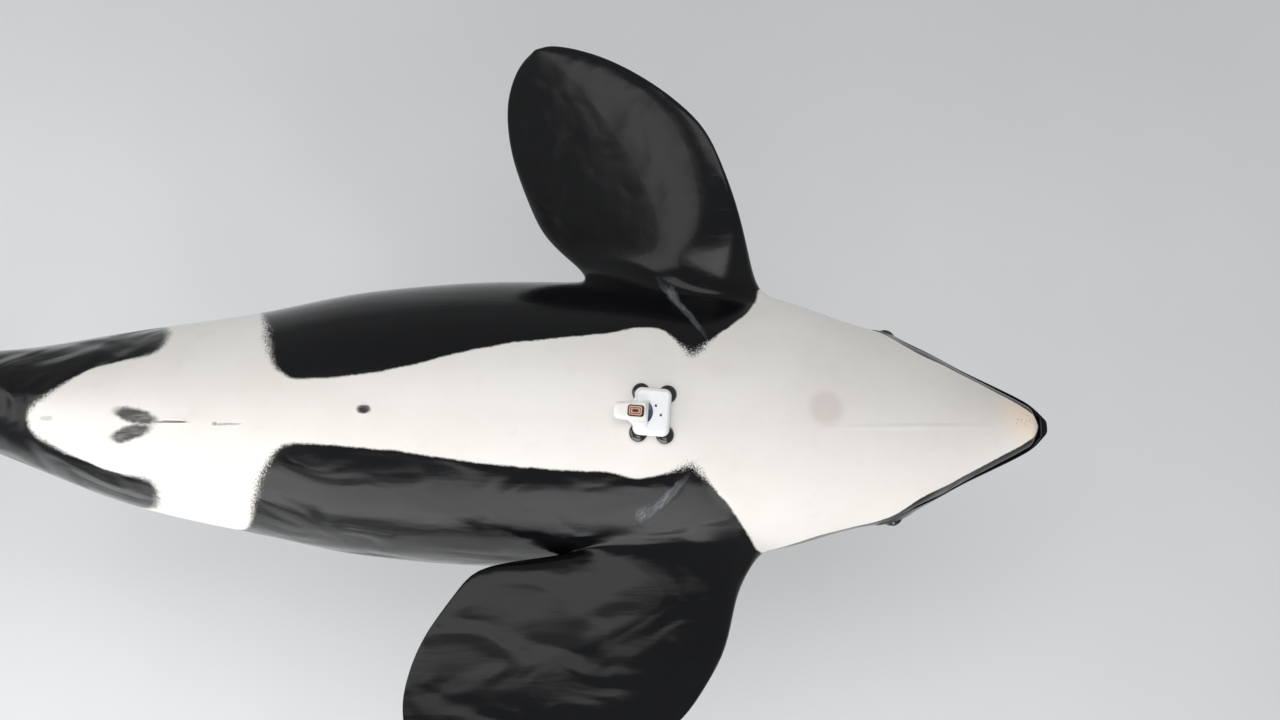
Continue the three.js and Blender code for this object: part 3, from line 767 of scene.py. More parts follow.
def body_cage(bm, row, column):
    """Rings extruded one after another from the snout to the notch of the tail. Returns their
    distances behind the snout."""
    places = ring_places()
    made = bmesh.ops.create_circle(bm, cap_ends=True, cap_tris=True, segments=COLUMNS, radius=1.0)
    tip, ring = made["verts"][0], made["verts"][1:]
    tip.co = Vector((SNOUT_X + SNOUT_PROUD, middle_y(0.0), AXIS_HEIGHT - SNOUT_DROP))
    tip[row] = -1
    for i, behind in enumerate(places):
        points = cage_ring(behind) if behind < CHART_END else stock_ring(behind)
        if i:
            edges = [e for e in bm.edges if e.is_boundary]
            made = bmesh.ops.extrude_edge_only(bm, edges=edges)
            ring = sorted(new_parts(made, bmesh.types.BMVert), key=lambda v: v[column])
        for k, vert in enumerate(ring):
            vert.co = points[k]
            vert[row] = i
            vert[column] = k
    edges = [e for e in bm.edges if e.is_boundary]
    made = bmesh.ops.extrude_edge_only(bm, edges=edges)
    end = Vector((SNOUT_X - BODY_END - TAIL_PROUD, middle_y(BODY_END), middle_z(BODY_END)))
    bmesh.ops.pointmerge(bm, verts=new_parts(made, bmesh.types.BMVert), merge_co=end)
    return places


def new_parts(made, kind):
    """The vertices or the faces that an operator made."""
    return [part for part in made["geom"] if isinstance(part, kind)]


def place_in_patch(vert, row, column, rows, columns):
    """Shares of the way along and across a patch of the cage at which a vertex stands."""
    along = (vert[row] - rows[0]) / (rows[1] - rows[0])
    across = ((vert[column] - columns[0]) % COLUMNS) / (columns[1] - columns[0])
    return along, across


def patch_faces(bm, row, column, rows, columns):
    """Faces of the cage between two rings and two columns, counted on past the last column."""
    wanted = {k % COLUMNS for k in range(columns[0], columns[1] + 1)}
    found = []
    for face in bm.faces:
        if all(rows[0] <= v[row] <= rows[1] and v[column] in wanted for v in face.verts):
            found.append(face)
    return found


def grow(bm, row, column, faces, rows, columns, rings):
    """Extrudes a patch of the cage once for each of the rings, functions of the place in the patch,
    and yields each new vertex."""
    starts = {(v[row], v[column]): v.co.copy() for f in faces for v in f.verts}
    for place in rings:
        made = bmesh.ops.extrude_face_region(bm, geom=faces)
        bmesh.ops.delete(bm, geom=faces, context="FACES")
        faces = new_parts(made, bmesh.types.BMFace)
        for vert in new_parts(made, bmesh.types.BMVert):
            along, across = place_in_patch(vert, row, column, rows, columns)
            vert.co = place(along, across, starts[(vert[row], vert[column])])
            yield vert


# Flippers, fin and flukes. Each has a function from a share of its span, a chord and a height to a
# point

def foil_curves(rows):
    """Leading edge, trailing edge and thickness over the arc sine of the share of the span."""
    return curves_of([(math.asin(row[0]), *row[1:]) for row in rows])


def foil_height(share):
    """Half thickness of a foil at a share of its chord, as a share of its greatest."""
    if share < FOIL_CREST:
        return math.sqrt(1 - ((FOIL_CREST - share) / FOIL_CREST) ** 2)
    return 1 - (1 - FOIL_EDGE) * ((share - FOIL_CREST) / (1 - FOIL_CREST)) ** FOIL_TAPER


def flipper_place(side, sweep_deg, raise_deg, turn_deg):
    sweep, lift = math.radians(sweep_deg), math.radians(raise_deg)
    outward = Vector((
        -math.sin(sweep) * math.cos(lift),
        side * math.cos(sweep) * math.cos(lift),
        math.sin(lift),
    ))
    forward = Vector((math.cos(sweep), side * math.sin(sweep), 0))
    normal = forward.cross(outward) * side
    behind, outer, above = FLIPPER_ROOT
    root = Vector((SNOUT_X - behind, side * outer, AXIS_HEIGHT + above))

    def place(along, chord, height):
        turn = math.radians(turn_deg) * float(smooth_step(along / FLIPPER_TURN_END))
        flat = chord * math.cos(turn) - height * math.sin(turn)
        raised = chord * math.sin(turn) + height * math.cos(turn)
        return root + outward * along * FLIPPER_SPAN + forward * flat + normal * raised

    return place


def dorsal_place(along, chord, height):
    return Vector((
        SNOUT_X - DORSAL_BEHIND + chord,
        height,
        AXIS_HEIGHT - DORSAL_ROOT_DEPTH - along * DORSAL_HEIGHT,
    ))


def fluke_place(side):
    shift_y, shift_z, slope = tail_curve(FLUKE_BEHIND)
    root = Vector((SNOUT_X - FLUKE_BEHIND, shift_y, AXIS_HEIGHT - shift_z))
    back = Vector((-1, slope * CURVE_SIDEWAYS, -slope * CURVE_DOWN)).normalized()
    across = -Vector((0, 0, 1)).cross(back).normalized()
    up = across.cross(back).normalized()

    def place(along, chord, height):
        return root + across * side * along * FLUKE_SPAN - back * chord + up * height

    return place


def outside_body(point):
    """How far a point lies outside the body, in metres."""
    behind, _, _, out = charted(np.array([point]))
    return float((out[0] - 1) * size_round(behind[0]))


def limb_rings(rows, place, top_first):
    """Functions for grow: a fillet off the body, then one foil section after another to the tip.
    A limb vertex's own line along the span starts where it clears the body."""
    lead, trail, thickness = foil_curves(rows)
    starts = {}

    def section(start, share_of_way, along_patch, across_patch):
        share = 1 - math.cos(along_patch * math.pi / 2)
        face = 1 - 2 * across_patch
        if not top_first:
            face = -face
        at = start + (1 - start) * share_of_way
        turn = math.asin(min(at, 1))
        if abs(face) > PATCH_EDGE:
            share = max(share, FOIL_NOSE_SHARE)
        chord = float(lead(turn) + (trail(turn) - lead(turn)) * share)
        height = face * foil_height(max(share, FOIL_NOSE_SHARE)) * float(thickness(turn)) / 2
        return place(at, chord, height)

    def start_of(along_patch):
        if along_patch not in starts:
            at = 0.0
            while at < LIMB_SEARCH_END and outside_body(section(at, 0, along_patch, 0.5)) < LIMB_MARGIN:
                at += LIMB_SEARCH_STEP
            starts[along_patch] = at
        return starts[along_patch]

    def ring(number):
        way = math.sin(number / (LIMB_RINGS - 1) * math.pi / 2)
        return lambda along, across, _: section(start_of(along), way, along, across)

    def fillet(along, across, start):
        return start.lerp(section(start_of(along), 0, along, across), FILLET_SHARE)

    return [fillet] + [ring(number) for number in range(LIMB_RINGS)]


def rows_between(places, start, end):
    """Numbers of the rings that lie nearest to two places."""
    return tuple(min(range(len(places)), key=lambda i: abs(places[i] - place)) for place in (start, end))


def add_limbs(bm, row, column, limb, upper, places):
    """Grows the flippers, the fin and the flukes out of the cage."""
    spans = {
        "flipper": rows_between(places, FLIPPER_FROM, FLIPPER_TO),
        "dorsal": rows_between(places, DORSAL_FROM, DORSAL_TO),
        "fluke": rows_between(places, FLUKE_FROM, FLUKE_TO),
    }
    right_flipper = flipper_place(*FLIPPER_POSES["right"])
    left_flipper = flipper_place(*FLIPPER_POSES["left"])
    jobs = (
        ("flipper", FLIPPER_COLUMNS["right"], FLIPPER_ROWS, right_flipper, True),
        ("flipper", FLIPPER_COLUMNS["left"], FLIPPER_ROWS, left_flipper, False),
        ("dorsal", DORSAL_COLUMNS, DORSAL_ROWS, dorsal_place, True),
        ("fluke", FLUKE_COLUMNS["right"], FLUKE_ROWS, fluke_place(1), True),
        ("fluke", FLUKE_COLUMNS["left"], FLUKE_ROWS, fluke_place(-1), False),
    )
    for kind, columns, outline, place, top_first in jobs:
        rows = spans[kind]
        faces = patch_faces(bm, row, column, rows, columns)
        root = {v for face in faces for v in face.verts}
        rings = limb_rings(outline, place, top_first)
        ring_size = len(root)
        for number, vert in enumerate(grow(bm, row, column, faces, rows, columns, rings)):
            if number < ROOT_RINGS * ring_size:
                root.add(vert)
            vert[limb] = FILLET_LIMB if number < ring_size else 1.0
            if kind == "fluke":
                along, across = place_in_patch(vert, row, column, rows, columns)
                face = (1 - 2 * across) * (1 if top_first else -1)
                vert[upper] = face * min(1, UPPER_RISE * along + UPPER_START)
        kept = [v for v in root if v.is_valid]
        for _ in range(ROOT_SMOOTHINGS[kind]):
            bmesh.ops.smooth_vert(
                bm, verts=kept, factor=SMOOTHING, use_axis_x=True, use_axis_y=True, use_axis_z=True)


# Eyelids, blowhole, navel and slit: rings round a place on the body

def on_chart(behind, angle, forward, across, lift):
    """A point of the surface moved over it, then lifted off it."""
    moved_behind = behind - forward
    moved_angle = angle + across / float(size_round(behind))
    place, _, _, outward = body_frame(moved_behind, moved_angle)
    return place + outward * lift


def patch_round(bm, row, column, behind, angle, row_count, column_count):
    """The block of cage faces whose middle lies nearest to a place."""
    spot = body_point(behind, angle)
    best = min(
        (f for f in bm.faces if len(f.verts) == 4 and f.verts[0][row] >= 0),
        key=lambda f: (f.calc_center_median() - spot).length,
    )
    rows = sorted({v[row] for v in best.verts})
    columns = sorted({v[column] for v in best.verts})
    first_column = columns[1] if columns[1] - columns[0] > 1 else columns[0]
    low_row = rows[0] - (row_count - 1) // 2
    low_column = first_column - (column_count - 1) // 2
    row_range = (low_row, low_row + row_count)
    column_range = (low_column, low_column + column_count)
    return patch_faces(bm, row, column, row_range, column_range), row_range, column_range


def add_rings(bm, row, column, behind, angle, shape, rings, counts=(3, 3)):
    """Sinks or raises rings in the skin. A ring is a size and a lift, and shape turns a direction
    and a size into a place on the chart."""
    faces, rows, columns = patch_round(bm, row, column, behind, angle, *counts)

    def ring(*size, lift):
        def place(along, across, _):
            u, v = 1 - 2 * along, 2 * across - 1
            inner = max(abs(u), abs(v))
            scale = 1 if inner > PATCH_EDGE else inner
            forward, sideways = (scale * way for way in shape(math.atan2(v, u), size))
            height = lift(forward, sideways) if callable(lift) else lift
            return on_chart(behind, angle, forward, sideways, height)
        return place

    places = [ring(*size, lift=lift) for *size, lift in rings]
    for _ in grow(bm, row, column, faces, rows, columns, places):
        pass


def oval(direction, size):
    """Where an oval's edge lies in a direction."""
    return size[0] * math.cos(direction), size[1] * math.sin(direction)


def lid_lift(gap, sink):
    """Height over the skin that hugs the eyeball from a distance."""
    def lift(forward, sideways):
        reach = EYE_RADIUS + gap
        square = reach * reach - forward * forward - sideways * sideways
        return max(math.sqrt(max(square, 0)) - EYE_DEPTH, 0.0) - sink
    return lift


def almond(direction, size):
    """An oval along the head whose ends are drawn out."""
    across = math.sin(direction)
    return (size[0] * math.cos(direction),
            size[1] * math.copysign(abs(across) ** LID_POINTEDNESS, across))


def add_eyelids(bm, row, column):
    """Folds round each eye, lids that hug the eyeball, and a pocket behind them."""
    lids = [(length, width, lid_lift(gap, sink)) for length, width, gap, sink in LID_RINGS]
    for angle in (EYE_ANGLE, -EYE_ANGLE):
        add_rings(bm, row, column, EYE_BEHIND, angle, almond, (*LID_FOLDS, *lids, LID_INSIDE))


def crescent(direction, size):
    """An oval across the head whose ends bend forward."""
    forward, sideways = oval(direction, size)
    return forward + size[2] * (sideways / size[1]) ** 2, sideways


def add_openings(bm, row, column):
    """Blowhole, navel and slit."""
    add_rings(bm, row, column, BLOWHOLE_BEHIND, math.pi, crescent, BLOWHOLE_RINGS, (4, 4))
    for (behind, y), rings, counts in ((NAVEL, NAVEL_RINGS, (1, 1)), (SLIT, SLIT_RINGS, (2, 1))):
        add_rings(bm, row, column, behind, angle_of(behind, y), oval, rings, counts)


# Markings, worked out for each vertex of the finished skin

def outline_points(side_index):
    """The white belly's edge as a smooth line in (behind, angle)."""
    spots = [(row[0], math.radians(row[side_index])) for row in WHITE_EDGE]
    line = []
    for i in range(len(spots) - 1):
        before = spots[max(i - 1, 0)]
        after = spots[min(i + 2, len(spots) - 1)]
        for step in range(EDGE_SAMPLES):
            t = step / EDGE_SAMPLES
            line.append(tuple(
                0.5 * (2 * b + (c - a) * t + (2 * a - 5 * b + 4 * c - d) * t * t
                       + (3 * b - a - 3 * c + d) * t ** 3)
                for a, b, c, d in zip(before, spots[i], spots[i + 1], after)
            ))
    return np.array(line + [spots[-1]])


def distance_inside(behind, angle, line, radius):
    """Signed distance to the line, in metres: above 0 between it and the middle of the belly."""
    nearest = np.full(len(behind), np.inf)
    crossings = np.zeros(len(behind), int)
    for (b0, a0), (b1, a1) in zip(line[:-1], line[1:]):
        dx, dy = b1 - b0, (a1 - a0) * radius
        px, py = behind - b0, (angle - a0) * radius
        t = np.clip((px * dx + py * dy) / (dx * dx + dy * dy + TINY), 0, 1)
        nearest = np.minimum(nearest, np.hypot(px - t * dx, py - t * dy))
        spans = (b0 <= behind) != (b1 <= behind)
        height = a0 + (behind - b0) / (b1 - b0 if spans.any() else 1) * (a1 - a0)
        crossings += spans & (height > angle)
    return np.where(crossings % 2 == 1, nearest, -nearest)


def oval_mark(behind, angle, radius, mark):
    """Signed distance to a tilted oval on the side of the body."""
    x = behind - mark["behind"]
    y = (angle - mark["angle"]) * radius
    c, s = math.cos(mark["tilt"]), math.sin(mark["tilt"])
    u, v = (x * c + y * s) / mark["length"], (y * c - x * s) / mark["width"]
    return (1 - np.hypot(u, v)) * mark["width"]


def fluke_field(points):
    """Distance inside the white of the flukes' lower side, which faces up here."""
    shift_y, shift_z, slope = tail_curve(FLUKE_BEHIND)
    back = np.array((-1, slope * CURVE_SIDEWAYS, 0)) / math.hypot(1, slope * CURVE_SIDEWAYS)
    side = np.array((-back[1], back[0], 0))
    offset = points - np.array((SNOUT_X - FLUKE_BEHIND, shift_y, AXIS_HEIGHT - shift_z))
    chord, across = -(offset @ back), np.abs(offset @ side)
    lead, trail, _ = foil_curves(FLUKE_ROWS)
    turn = np.arcsin(np.clip(across / FLUKE_SPAN, 0, 1))
    total = np.zeros(len(points))
    for room in (
        lead(turn) - chord - FLUKE_LEAD_MARGIN,
        chord - trail(turn) - FLUKE_TRAIL_MARGIN,
        FLUKE_SPAN - FLUKE_TIP_MARGIN - across,
    ):
        total += np.maximum(FLUKE_ROUNDING - room, 0) ** 2
    return FLUKE_ROUNDING - np.sqrt(total)


def add_markings(mesh):
    """Point attributes that the skin's material reads."""
    points = np.zeros(len(mesh.vertices) * 3)
    mesh.vertices.foreach_get("co", points)
    points = points.reshape(-1, 3)
    limb = np.zeros(len(points))
    upper = np.zeros(len(points))
    mesh.attributes["limb"].data.foreach_get("value", limb)
    mesh.attributes["upper"].data.foreach_get("value", upper)
    behind, angle, side, _ = charted(points)
    radius = size_round(behind)

    drift = smooth_step((behind - WHITE_END_FROM) / (WHITE_END_TO - WHITE_END_FROM))
    drift *= WHITE_END_DRIFT * (1 - smooth_step(angle / WHITE_END_REACH - WHITE_END_HOLD))
    to_right = side * angle + drift
    white = np.where(
        to_right > 0,
        distance_inside(behind, to_right, outline_points(1), radius),
        distance_inside(behind, -to_right, outline_points(2), radius),
    )
    white = np.maximum(white, oval_mark(behind, angle, radius, EYE_PATCH))
    white -= WHITE_OFF_LIMBS * smooth_step((limb - LIMB_MARK_START) * LIMB_MARK_RISE)
    on_fluke = upper > UPPER_LEAST
    fluke_white = np.minimum(fluke_field(points), upper * UPPER_ROOM)
    white = np.where(on_fluke, np.maximum(white, fluke_white), white)
    saddle = oval_mark(behind, angle, radius, SADDLE) - SADDLE_OFF_LIMBS * limb

    fuzz = np.where(on_fluke, FLUKE_FUZZ, 0.0)
    for place, across, reach in FUZZ_PLACES:
        off = np.hypot(behind - place, np.abs(points[:, 1]) - across) / reach
        fuzz = np.maximum(fuzz, np.exp(-off * off))
    for name, values in (("white", white), ("saddle", saddle), ("fuzz", fuzz)):
        attribute = mesh.attributes.new(name, "FLOAT", "POINT")
        attribute.data.foreach_set("value", values.astype(np.float32))


# Materials

class Shader:
    """A small helper that adds and links a material's nodes."""

    def __init__(self, name):
        self.material = bpy.data.materials.new(name)
        self.material.use_nodes = True
        self.tree = self.material.node_tree
        self.surface = self.tree.nodes["Principled BSDF"]
        self.place = self.tree.nodes.new("ShaderNodeTexCoord").outputs["Object"]

    def set(self, **sockets):
        for name, value in sockets.items():
            self.put(self.surface.inputs[name.replace("_", " ")], value)

    def put(self, socket, value):
        if isinstance(value, bpy.types.NodeSocket):
            self.tree.links.new(value, socket)
        elif hasattr(value, "__len__") and len(value) == 3 and socket.type == "RGBA":
            socket.default_value = (*value, 1)
        else:
            socket.default_value = value

    def add(self, kind, inputs=(), **settings):
        node = self.tree.nodes.new("ShaderNode" + kind)
        for name, value in settings.items():
            setattr(node, name, value)
        for name, value in dict(inputs).items():
            self.put(node.inputs[name], value)
        return node

    def mapped(self, **settings):
        node = self.add("Mapping", {"Vector": self.place})
        for name, value in settings.items():
            self.put(node.inputs[name.capitalize()], value)
        return node.outputs[0]

    def noise(self, scale, detail, roughness=0.55, vector=None, distortion=0.0, output="Fac"):
        return self.add("TexNoise", {
            "Vector": vector or self.place,
            "Scale": scale,
            "Detail": detail,
            "Roughness": roughness,
            "Distortion": distortion,
        }).outputs[output]

    def vector_math(self, operation, a, b):
        return self.add("VectorMath", {0: a, 1: b}, operation=operation).outputs[0]

    def math(self, operation, a, b=0.0, c=0.0):
        node = self.add("Math", operation=operation)
        for i, value in enumerate((a, b, c)):
            self.put(node.inputs[i], value)
        return node.outputs[0]

    def times(self, a, b):
        return self.math("MULTIPLY", a, b)

    def added(self, a, scale, base):
        """A value times a scale, added to a base."""
        return self.math("MULTIPLY_ADD", a, scale, base)

    def centred(self, noise):
        """A noise moved to lie about zero."""
        return self.math("SUBTRACT", noise, 0.5)

    def strongest(self, values):
        """The greatest of some values."""
        first, *rest = values
        for value in rest:
            first = self.math("MAXIMUM", first, value)
        return first

    def ramp(self, value, low, high, out_low=0.0, out_high=1.0, smooth=True):
        node = self.add("MapRange", {
            "Value": value,
            "From Min": low,
            "From Max": high,
            "To Min": out_low,
            "To Max": out_high,
        }, interpolation_type="SMOOTHSTEP" if smooth else "LINEAR")
        return node.outputs[0]

    def mix(self, share, first, second):
        node = self.add("Mix", data_type="RGBA", blend_type="MIX")
        self.put(node.inputs[0], share)
        self.put(node.inputs[6], first)
        self.put(node.inputs[7], second)
        return node.outputs[2]

    def attribute(self, name):
        return self.add("Attribute", attribute_name=name).outputs["Fac"]

    def spot_chart(self, centre, size, soft=0.5, turn=(0, 0, 0), wander=0.0):
        """A turned chart round a place, which is 1 long at the oval's edge, and a share that is 1
        inside the oval and fades to 0 at its edge. With wander, the edge is uneven."""
        place = self.place
        if wander:
            drift = self.noise(scale=24.0, detail=5.0, roughness=0.65, output="Color")
            drift = self.vector_math("SUBTRACT", drift, (0.5,) * 3)
            drift = self.vector_math("MULTIPLY", drift, (wander * 2,) * 3)
            place = self.vector_math("ADD", place, drift)
        node = self.add("Mapping", {"Vector": place}, vector_type="TEXTURE")
        node.inputs["Location"].default_value = centre
        node.inputs["Rotation"].default_value = turn
        node.inputs["Scale"].default_value = size
        reach = self.add("VectorMath", {0: node.outputs[0]}, operation="LENGTH").outputs["Value"]
        return node.outputs[0], self.ramp(reach, 1.0, 1.0 - soft)

    def spot(self, *place_and_size, **settings):
        """The share of spot_chart alone."""
        return self.spot_chart(*place_and_size, **settings)[1]

    def bump(self, height, distance, normal=None):
        inputs = {"Height": height, "Distance": distance, "Strength": 1.0}
        if normal is not None:
            inputs["Normal"] = normal
        return self.add("Bump", inputs).outputs["Normal"]


def skin_material(settings):
    """Wet skin: white belly, black back, grey saddle, with marks, creases with a painted highlight along
    them, and scratches.
    """
    s = Shader("orca_skin")
    broad = s.noise(scale=2.2, detail=4.0, roughness=0.6)
    patchy = s.noise(scale=13.0, detail=5.0, roughness=0.6)
    # The creases' share sets both their bump and their painted highlight
    creases = creases_and_highlights(s)
    white = white_share(s, settings, patchy)
    pale = white_skin(s, settings, broad, patchy)
    deep = black_skin(s, settings, broad, patchy, creases)
    rough = s.ramp(patchy, 0.25, 0.8, settings.roughness * 0.8, settings.roughness * 1.3)
    rough = s.added(white, WHITE_ROUGHER, rough)
    relief = skin_relief(s, settings, creases)
    s.set(Base_Color=s.mix(white, deep, pale), Roughness=rough, Normal=relief)
    s.set(Coat_Weight=0.2, Coat_Roughness=0.05, Coat_IOR=1.33, Specular_IOR_Level=0.2)
    return s.material


def white_share(s, settings, patchy):
    """1 on the white. Its edge is crisp along most of its length, and stippled at its points."""
    fuzz = s.attribute("fuzz")
    stipple = s.centred(s.noise(scale=210.0, detail=2.5, roughness=0.6))
    ragged = s.centred(s.noise(scale=55.0, detail=4.0, roughness=0.7))
    least, most = settings.edge_fuzz * EDGE_LEAST, settings.edge_fuzz * EDGE_MOST
    reach = s.ramp(fuzz, 0.0, 1.0, least, most, smooth=False)
    edge = s.added(stipple, reach, s.attribute("white"))
    edge = s.added(ragged, settings.edge_fuzz * EDGE_RAGGED, edge)
    edge = s.added(s.centred(patchy), EDGE_WANDER, edge)
    blur = s.added(fuzz, EDGE_BLUR_AT_FUZZ, EDGE_BLUR)
    return s.ramp(edge, s.times(blur, -1.0), blur)


def white_skin(s, settings, broad, patchy):
    """White with faint clouds, a warm chin, a pink throat, a speckled tip and the dark marks."""
    shade = s.mix(s.ramp(broad, 0.35, 0.68), settings.white_skin, WHITE_CLOUD)
    shade = s.mix(s.ramp(patchy, 0.52, 0.85, 0.0, 0.4), shade, WHITE_PATCH)
    shade = s.mix(tint_share(s, *CHIN_SPOT), shade, settings.chin_tint)
    shade = s.mix(tint_share(s, *THROAT_SPOT), shade, THROAT_PINK)
    speckles = s.ramp(s.noise(scale=130.0, detail=1.0, roughness=0.4), 0.64, 0.70)
    shade = s.mix(s.times(speckles, tint_share(s, *TIP_SPOT)), shade, TIP_BROWN)
    return s.mix(belly_marks(s), shade, MARK_DARK)


def black_skin(s, settings, broad, patchy, creases):
    """Black with a fine grain, the grey saddle, scratches, and a painted highlight along the creases."""
    fine = s.noise(scale=110.0, detail=5.0, roughness=0.65)
    shade = s.mix(s.ramp(broad, 0.3, 0.75), settings.black_skin, BLACK_CLOUD)
    shade = s.mix(s.ramp(fine, 0.55, 0.8, 0.0, 0.5), shade, BLACK_GRAIN)
    saddle = s.added(s.centred(patchy), SADDLE_WANDER, s.attribute("saddle"))
    shade = s.mix(s.times(s.ramp(saddle, -0.012, 0.02), 0.85), shade, SADDLE_GREY)
    place = s.mapped(scale=(5.0, 60.0, 60.0), rotation=(0.0, 0.12, 0.06))
    scratches = s.noise(scale=1.0, detail=3.0, roughness=0.6, vector=place, distortion=0.4)
    shade = s.mix(s.times(s.ramp(scratches, 0.68, 0.75), 0.08), shade, SCRATCH_GREY)
    # Painted highlight: pale grey along the creases
    return s.mix(creases, shade, CREASE_HIGHLIGHT_GREY)


def skin_relief(s, settings, creases):
    """Unevenness of the wet black, folds along the head, grain and creases."""
    dark_side = s.ramp(s.attribute("white"), 0.015, -0.03)
    place = s.add("SeparateXYZ", {"Vector": s.place}).outputs
    wet = s.strongest([s.ramp(place[axis], *growth) for axis, *growth in WET_SIDES])
    wave_place = s.mapped(scale=(0.75, 1.3, 1.3))
    waves = s.noise(scale=4.6, detail=1.4, roughness=0.4, vector=wave_place, distortion=0.7)
    normal = s.bump(s.times(s.centred(waves), s.times(dark_side, wet)), settings.ripple)
    behind, y, size, turn, height = HEAD_FOLD
    ridge = s.spot(chart_spot(behind, y), size, soft=1.0, turn=(0, 0, turn))
    normal = s.bump(ridge, height, normal)
    fold_place = s.mapped(scale=(2.2, 24.0, 24.0))
    folds = s.noise(scale=1.0, detail=3.0, roughness=0.55, vector=fold_place, distortion=0.5)
    normal = s.bump(folds, FINE_FOLD_HEIGHT, normal)
    normal = s.bump(s.noise(scale=420.0, detail=3.0, roughness=0.6), GRAIN_HEIGHT, normal)
    return s.bump(creases, CREASE_HEIGHT, normal)


def creases_and_highlights(s):
    """Fine creases from the flippers' roots to the points of the black; the share gives their bump and a
    painted highlight.
    """
    streaks = []
    for start, end, width, strength in CREASES:
        first = body_point(start[0], math.radians(start[1]))
        last = body_point(end[0], math.radians(end[1]))
        middle_angle = math.radians((start[1] + end[1]) / 2)
        middle, _, _, outward = body_frame((start[0] + end[0]) / 2, middle_angle)
        along = (last - first).normalized()
        outward = (outward - along * outward.dot(along)).normalized()
        turn = Matrix((along, outward.cross(along), outward)).transposed().to_euler()
        size = ((last - first).length * CREASE_REACH, width, CREASE_DEPTH)
        chart, band = s.spot_chart(middle, size, CREASE_SOFTNESS, turn, CREASE_WANDER)
        stretched = s.vector_math("MULTIPLY", chart, CREASE_FIBRES)
        fibres = s.noise(scale=1.0, detail=4.0, roughness=0.6, vector=stretched, distortion=0.6)
        thread = s.ramp(s.math("ABSOLUTE", s.centred(fibres)), 0.09, 0.0, 0.22, 1.0)
        streaks.append(s.times(s.times(band, thread), strength))
    return s.strongest(streaks)


def chart_spot(behind, y):
    """A point of the belly's skin by its place behind the snout and its sideways place."""
    return tuple(body_point(behind, angle_of(behind, y)))


def tint_share(s, behind, y, size, soft, strength):
    """Share of a tint in a soft oval on the belly's skin."""
    return s.times(s.spot(chart_spot(behind, y), size, soft), strength)


def belly_marks(s):
    """Share of the dark marks, lightened by fine streaks along the body."""
    marks = []
    for behind, y, length, width, turn, strength, wander in BELLY_MARKS:
        size = (length, width, MARK_DEPTH)
        mark = s.spot(chart_spot(behind, y), size, MARK_SOFTNESS, turn=(0, 0, turn), wander=wander)
        marks.append(s.times(mark, strength))
    place = s.mapped(scale=(12.0, 95.0, 20.0))
    streaks = s.noise(scale=1.0, detail=4.0, roughness=0.65, vector=place)
    return s.times(s.strongest(marks), s.ramp(streaks, 0.3, 0.6, 0.82, 1.0))


def eye_material():
    """A dark wet eye."""
    s = Shader("wet_eye")
    s.set(Base_Color=EYE_BROWN, Roughness=0.05, Coat_Weight=1.0, Coat_Roughness=0.02)
    return s.material


def plain_material(name, color, roughness, metallic=0.0, grain=0.0001, coat=0.0, speckle=None):
    """A moulded, painted or metal surface with a fine grain and slight stains."""
    s = Shader(name)
    worn = tuple(channel * STAIN_SHADE for channel in color)
    stains = s.ramp(s.noise(scale=18.0, detail=5.0, roughness=0.6), 0.35, 0.75)
    shade = s.mix(stains, tuple(color), worn)
    if speckle:
        dots = s.ramp(s.noise(scale=420.0, detail=1.0, roughness=0.4), 0.58, 0.64)
        shade = s.mix(dots, shade, speckle)
    smears = s.noise(scale=60.0, detail=4.0, roughness=0.6)
    s.set(Base_Color=shade, Metallic=metallic, Coat_Weight=coat)
    s.set(Roughness=s.ramp(smears, 0.3, 0.8, roughness * 0.85, roughness * 1.2))
    s.set(Normal=s.bump(s.noise(scale=900.0, detail=2.0, roughness=0.5), grain))
    return s.material


# Making objects

def piece_of(name, bm, material, slot, replaces=(), smooth=True):
    """Makes a finished bmesh a piece that rides on the body."""
    mesh = bpy.data.meshes.new(name)
    bm.to_mesh(mesh)
    bm.free()
    piece_from_mesh(name, mesh, material, slot, replaces, smooth)


def piece_from_mesh(name, mesh, material, slot, replaces=(), smooth=True):
    """Links a finished mesh as a piece that rides on the body and stands for the nodes it replaces."""
    mesh.name = name
    mesh.materials.clear()
    mesh.materials.append(material)
    if smooth:
        mesh.shade_smooth()
    else:
        mesh.shade_flat()
    piece = bpy.data.objects.new(name, mesh)
    bpy.context.scene.collection.objects.link(piece)
    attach(piece, "root")
    if replaces:
        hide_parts(*replaces)


def subdivided(bm, levels):
    """The bmesh as a mesh with its subdivision applied."""
    mesh = bpy.data.meshes.new("cage")
    bm.to_mesh(mesh)
    bm.free()
    cage = bpy.data.objects.new("cage", mesh)
    bpy.context.scene.collection.objects.link(cage)
    modifier = cage.modifiers.new("Subdivision", "SUBSURF")
    modifier.levels = modifier.render_levels = levels
    bpy.context.view_layer.update()
    done = bpy.data.meshes.new_from_object(cage.evaluated_get(bpy.context.evaluated_depsgraph_get()))
    bpy.data.objects.remove(cage)
    bpy.data.meshes.remove(mesh)
    return done


def tag_matrix():
    """The logger's own frame: its feet on the chest, X to the snout, Z away from the skin."""
    low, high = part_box("tag_housing")
    angle = math.atan2(TAG_SIDE, float(half_width(TAG_BEHIND)))
    place, forward, _, outward = body_frame(TAG_BEHIND, angle)
    across = outward.cross(forward).normalized()
    matrix = Matrix((forward, across, outward)).transposed().to_4x4()
    matrix.translation = place
    matrix = matrix @ Matrix.Rotation(TAG_TURN, 4, "Z")
    middle = matrix @ Vector((0, 0, TAG_FOOT + TAG_HEIGHT / 2))
    if not all(low[i] - TAG_SLACK < middle[i] < high[i] + TAG_SLACK for i in range(3)):
        raise RuntimeError("the logger's place doesn't match its solid")
    return matrix


def arc(centre_x, centre_y, radius, start, end, count):
    """Points on an arc, both ends included."""
    return [(centre_x + radius * math.cos(start + (end - start) * i / count),
             centre_y + radius * math.sin(start + (end - start) * i / count))
            for i in range(count + 1)]


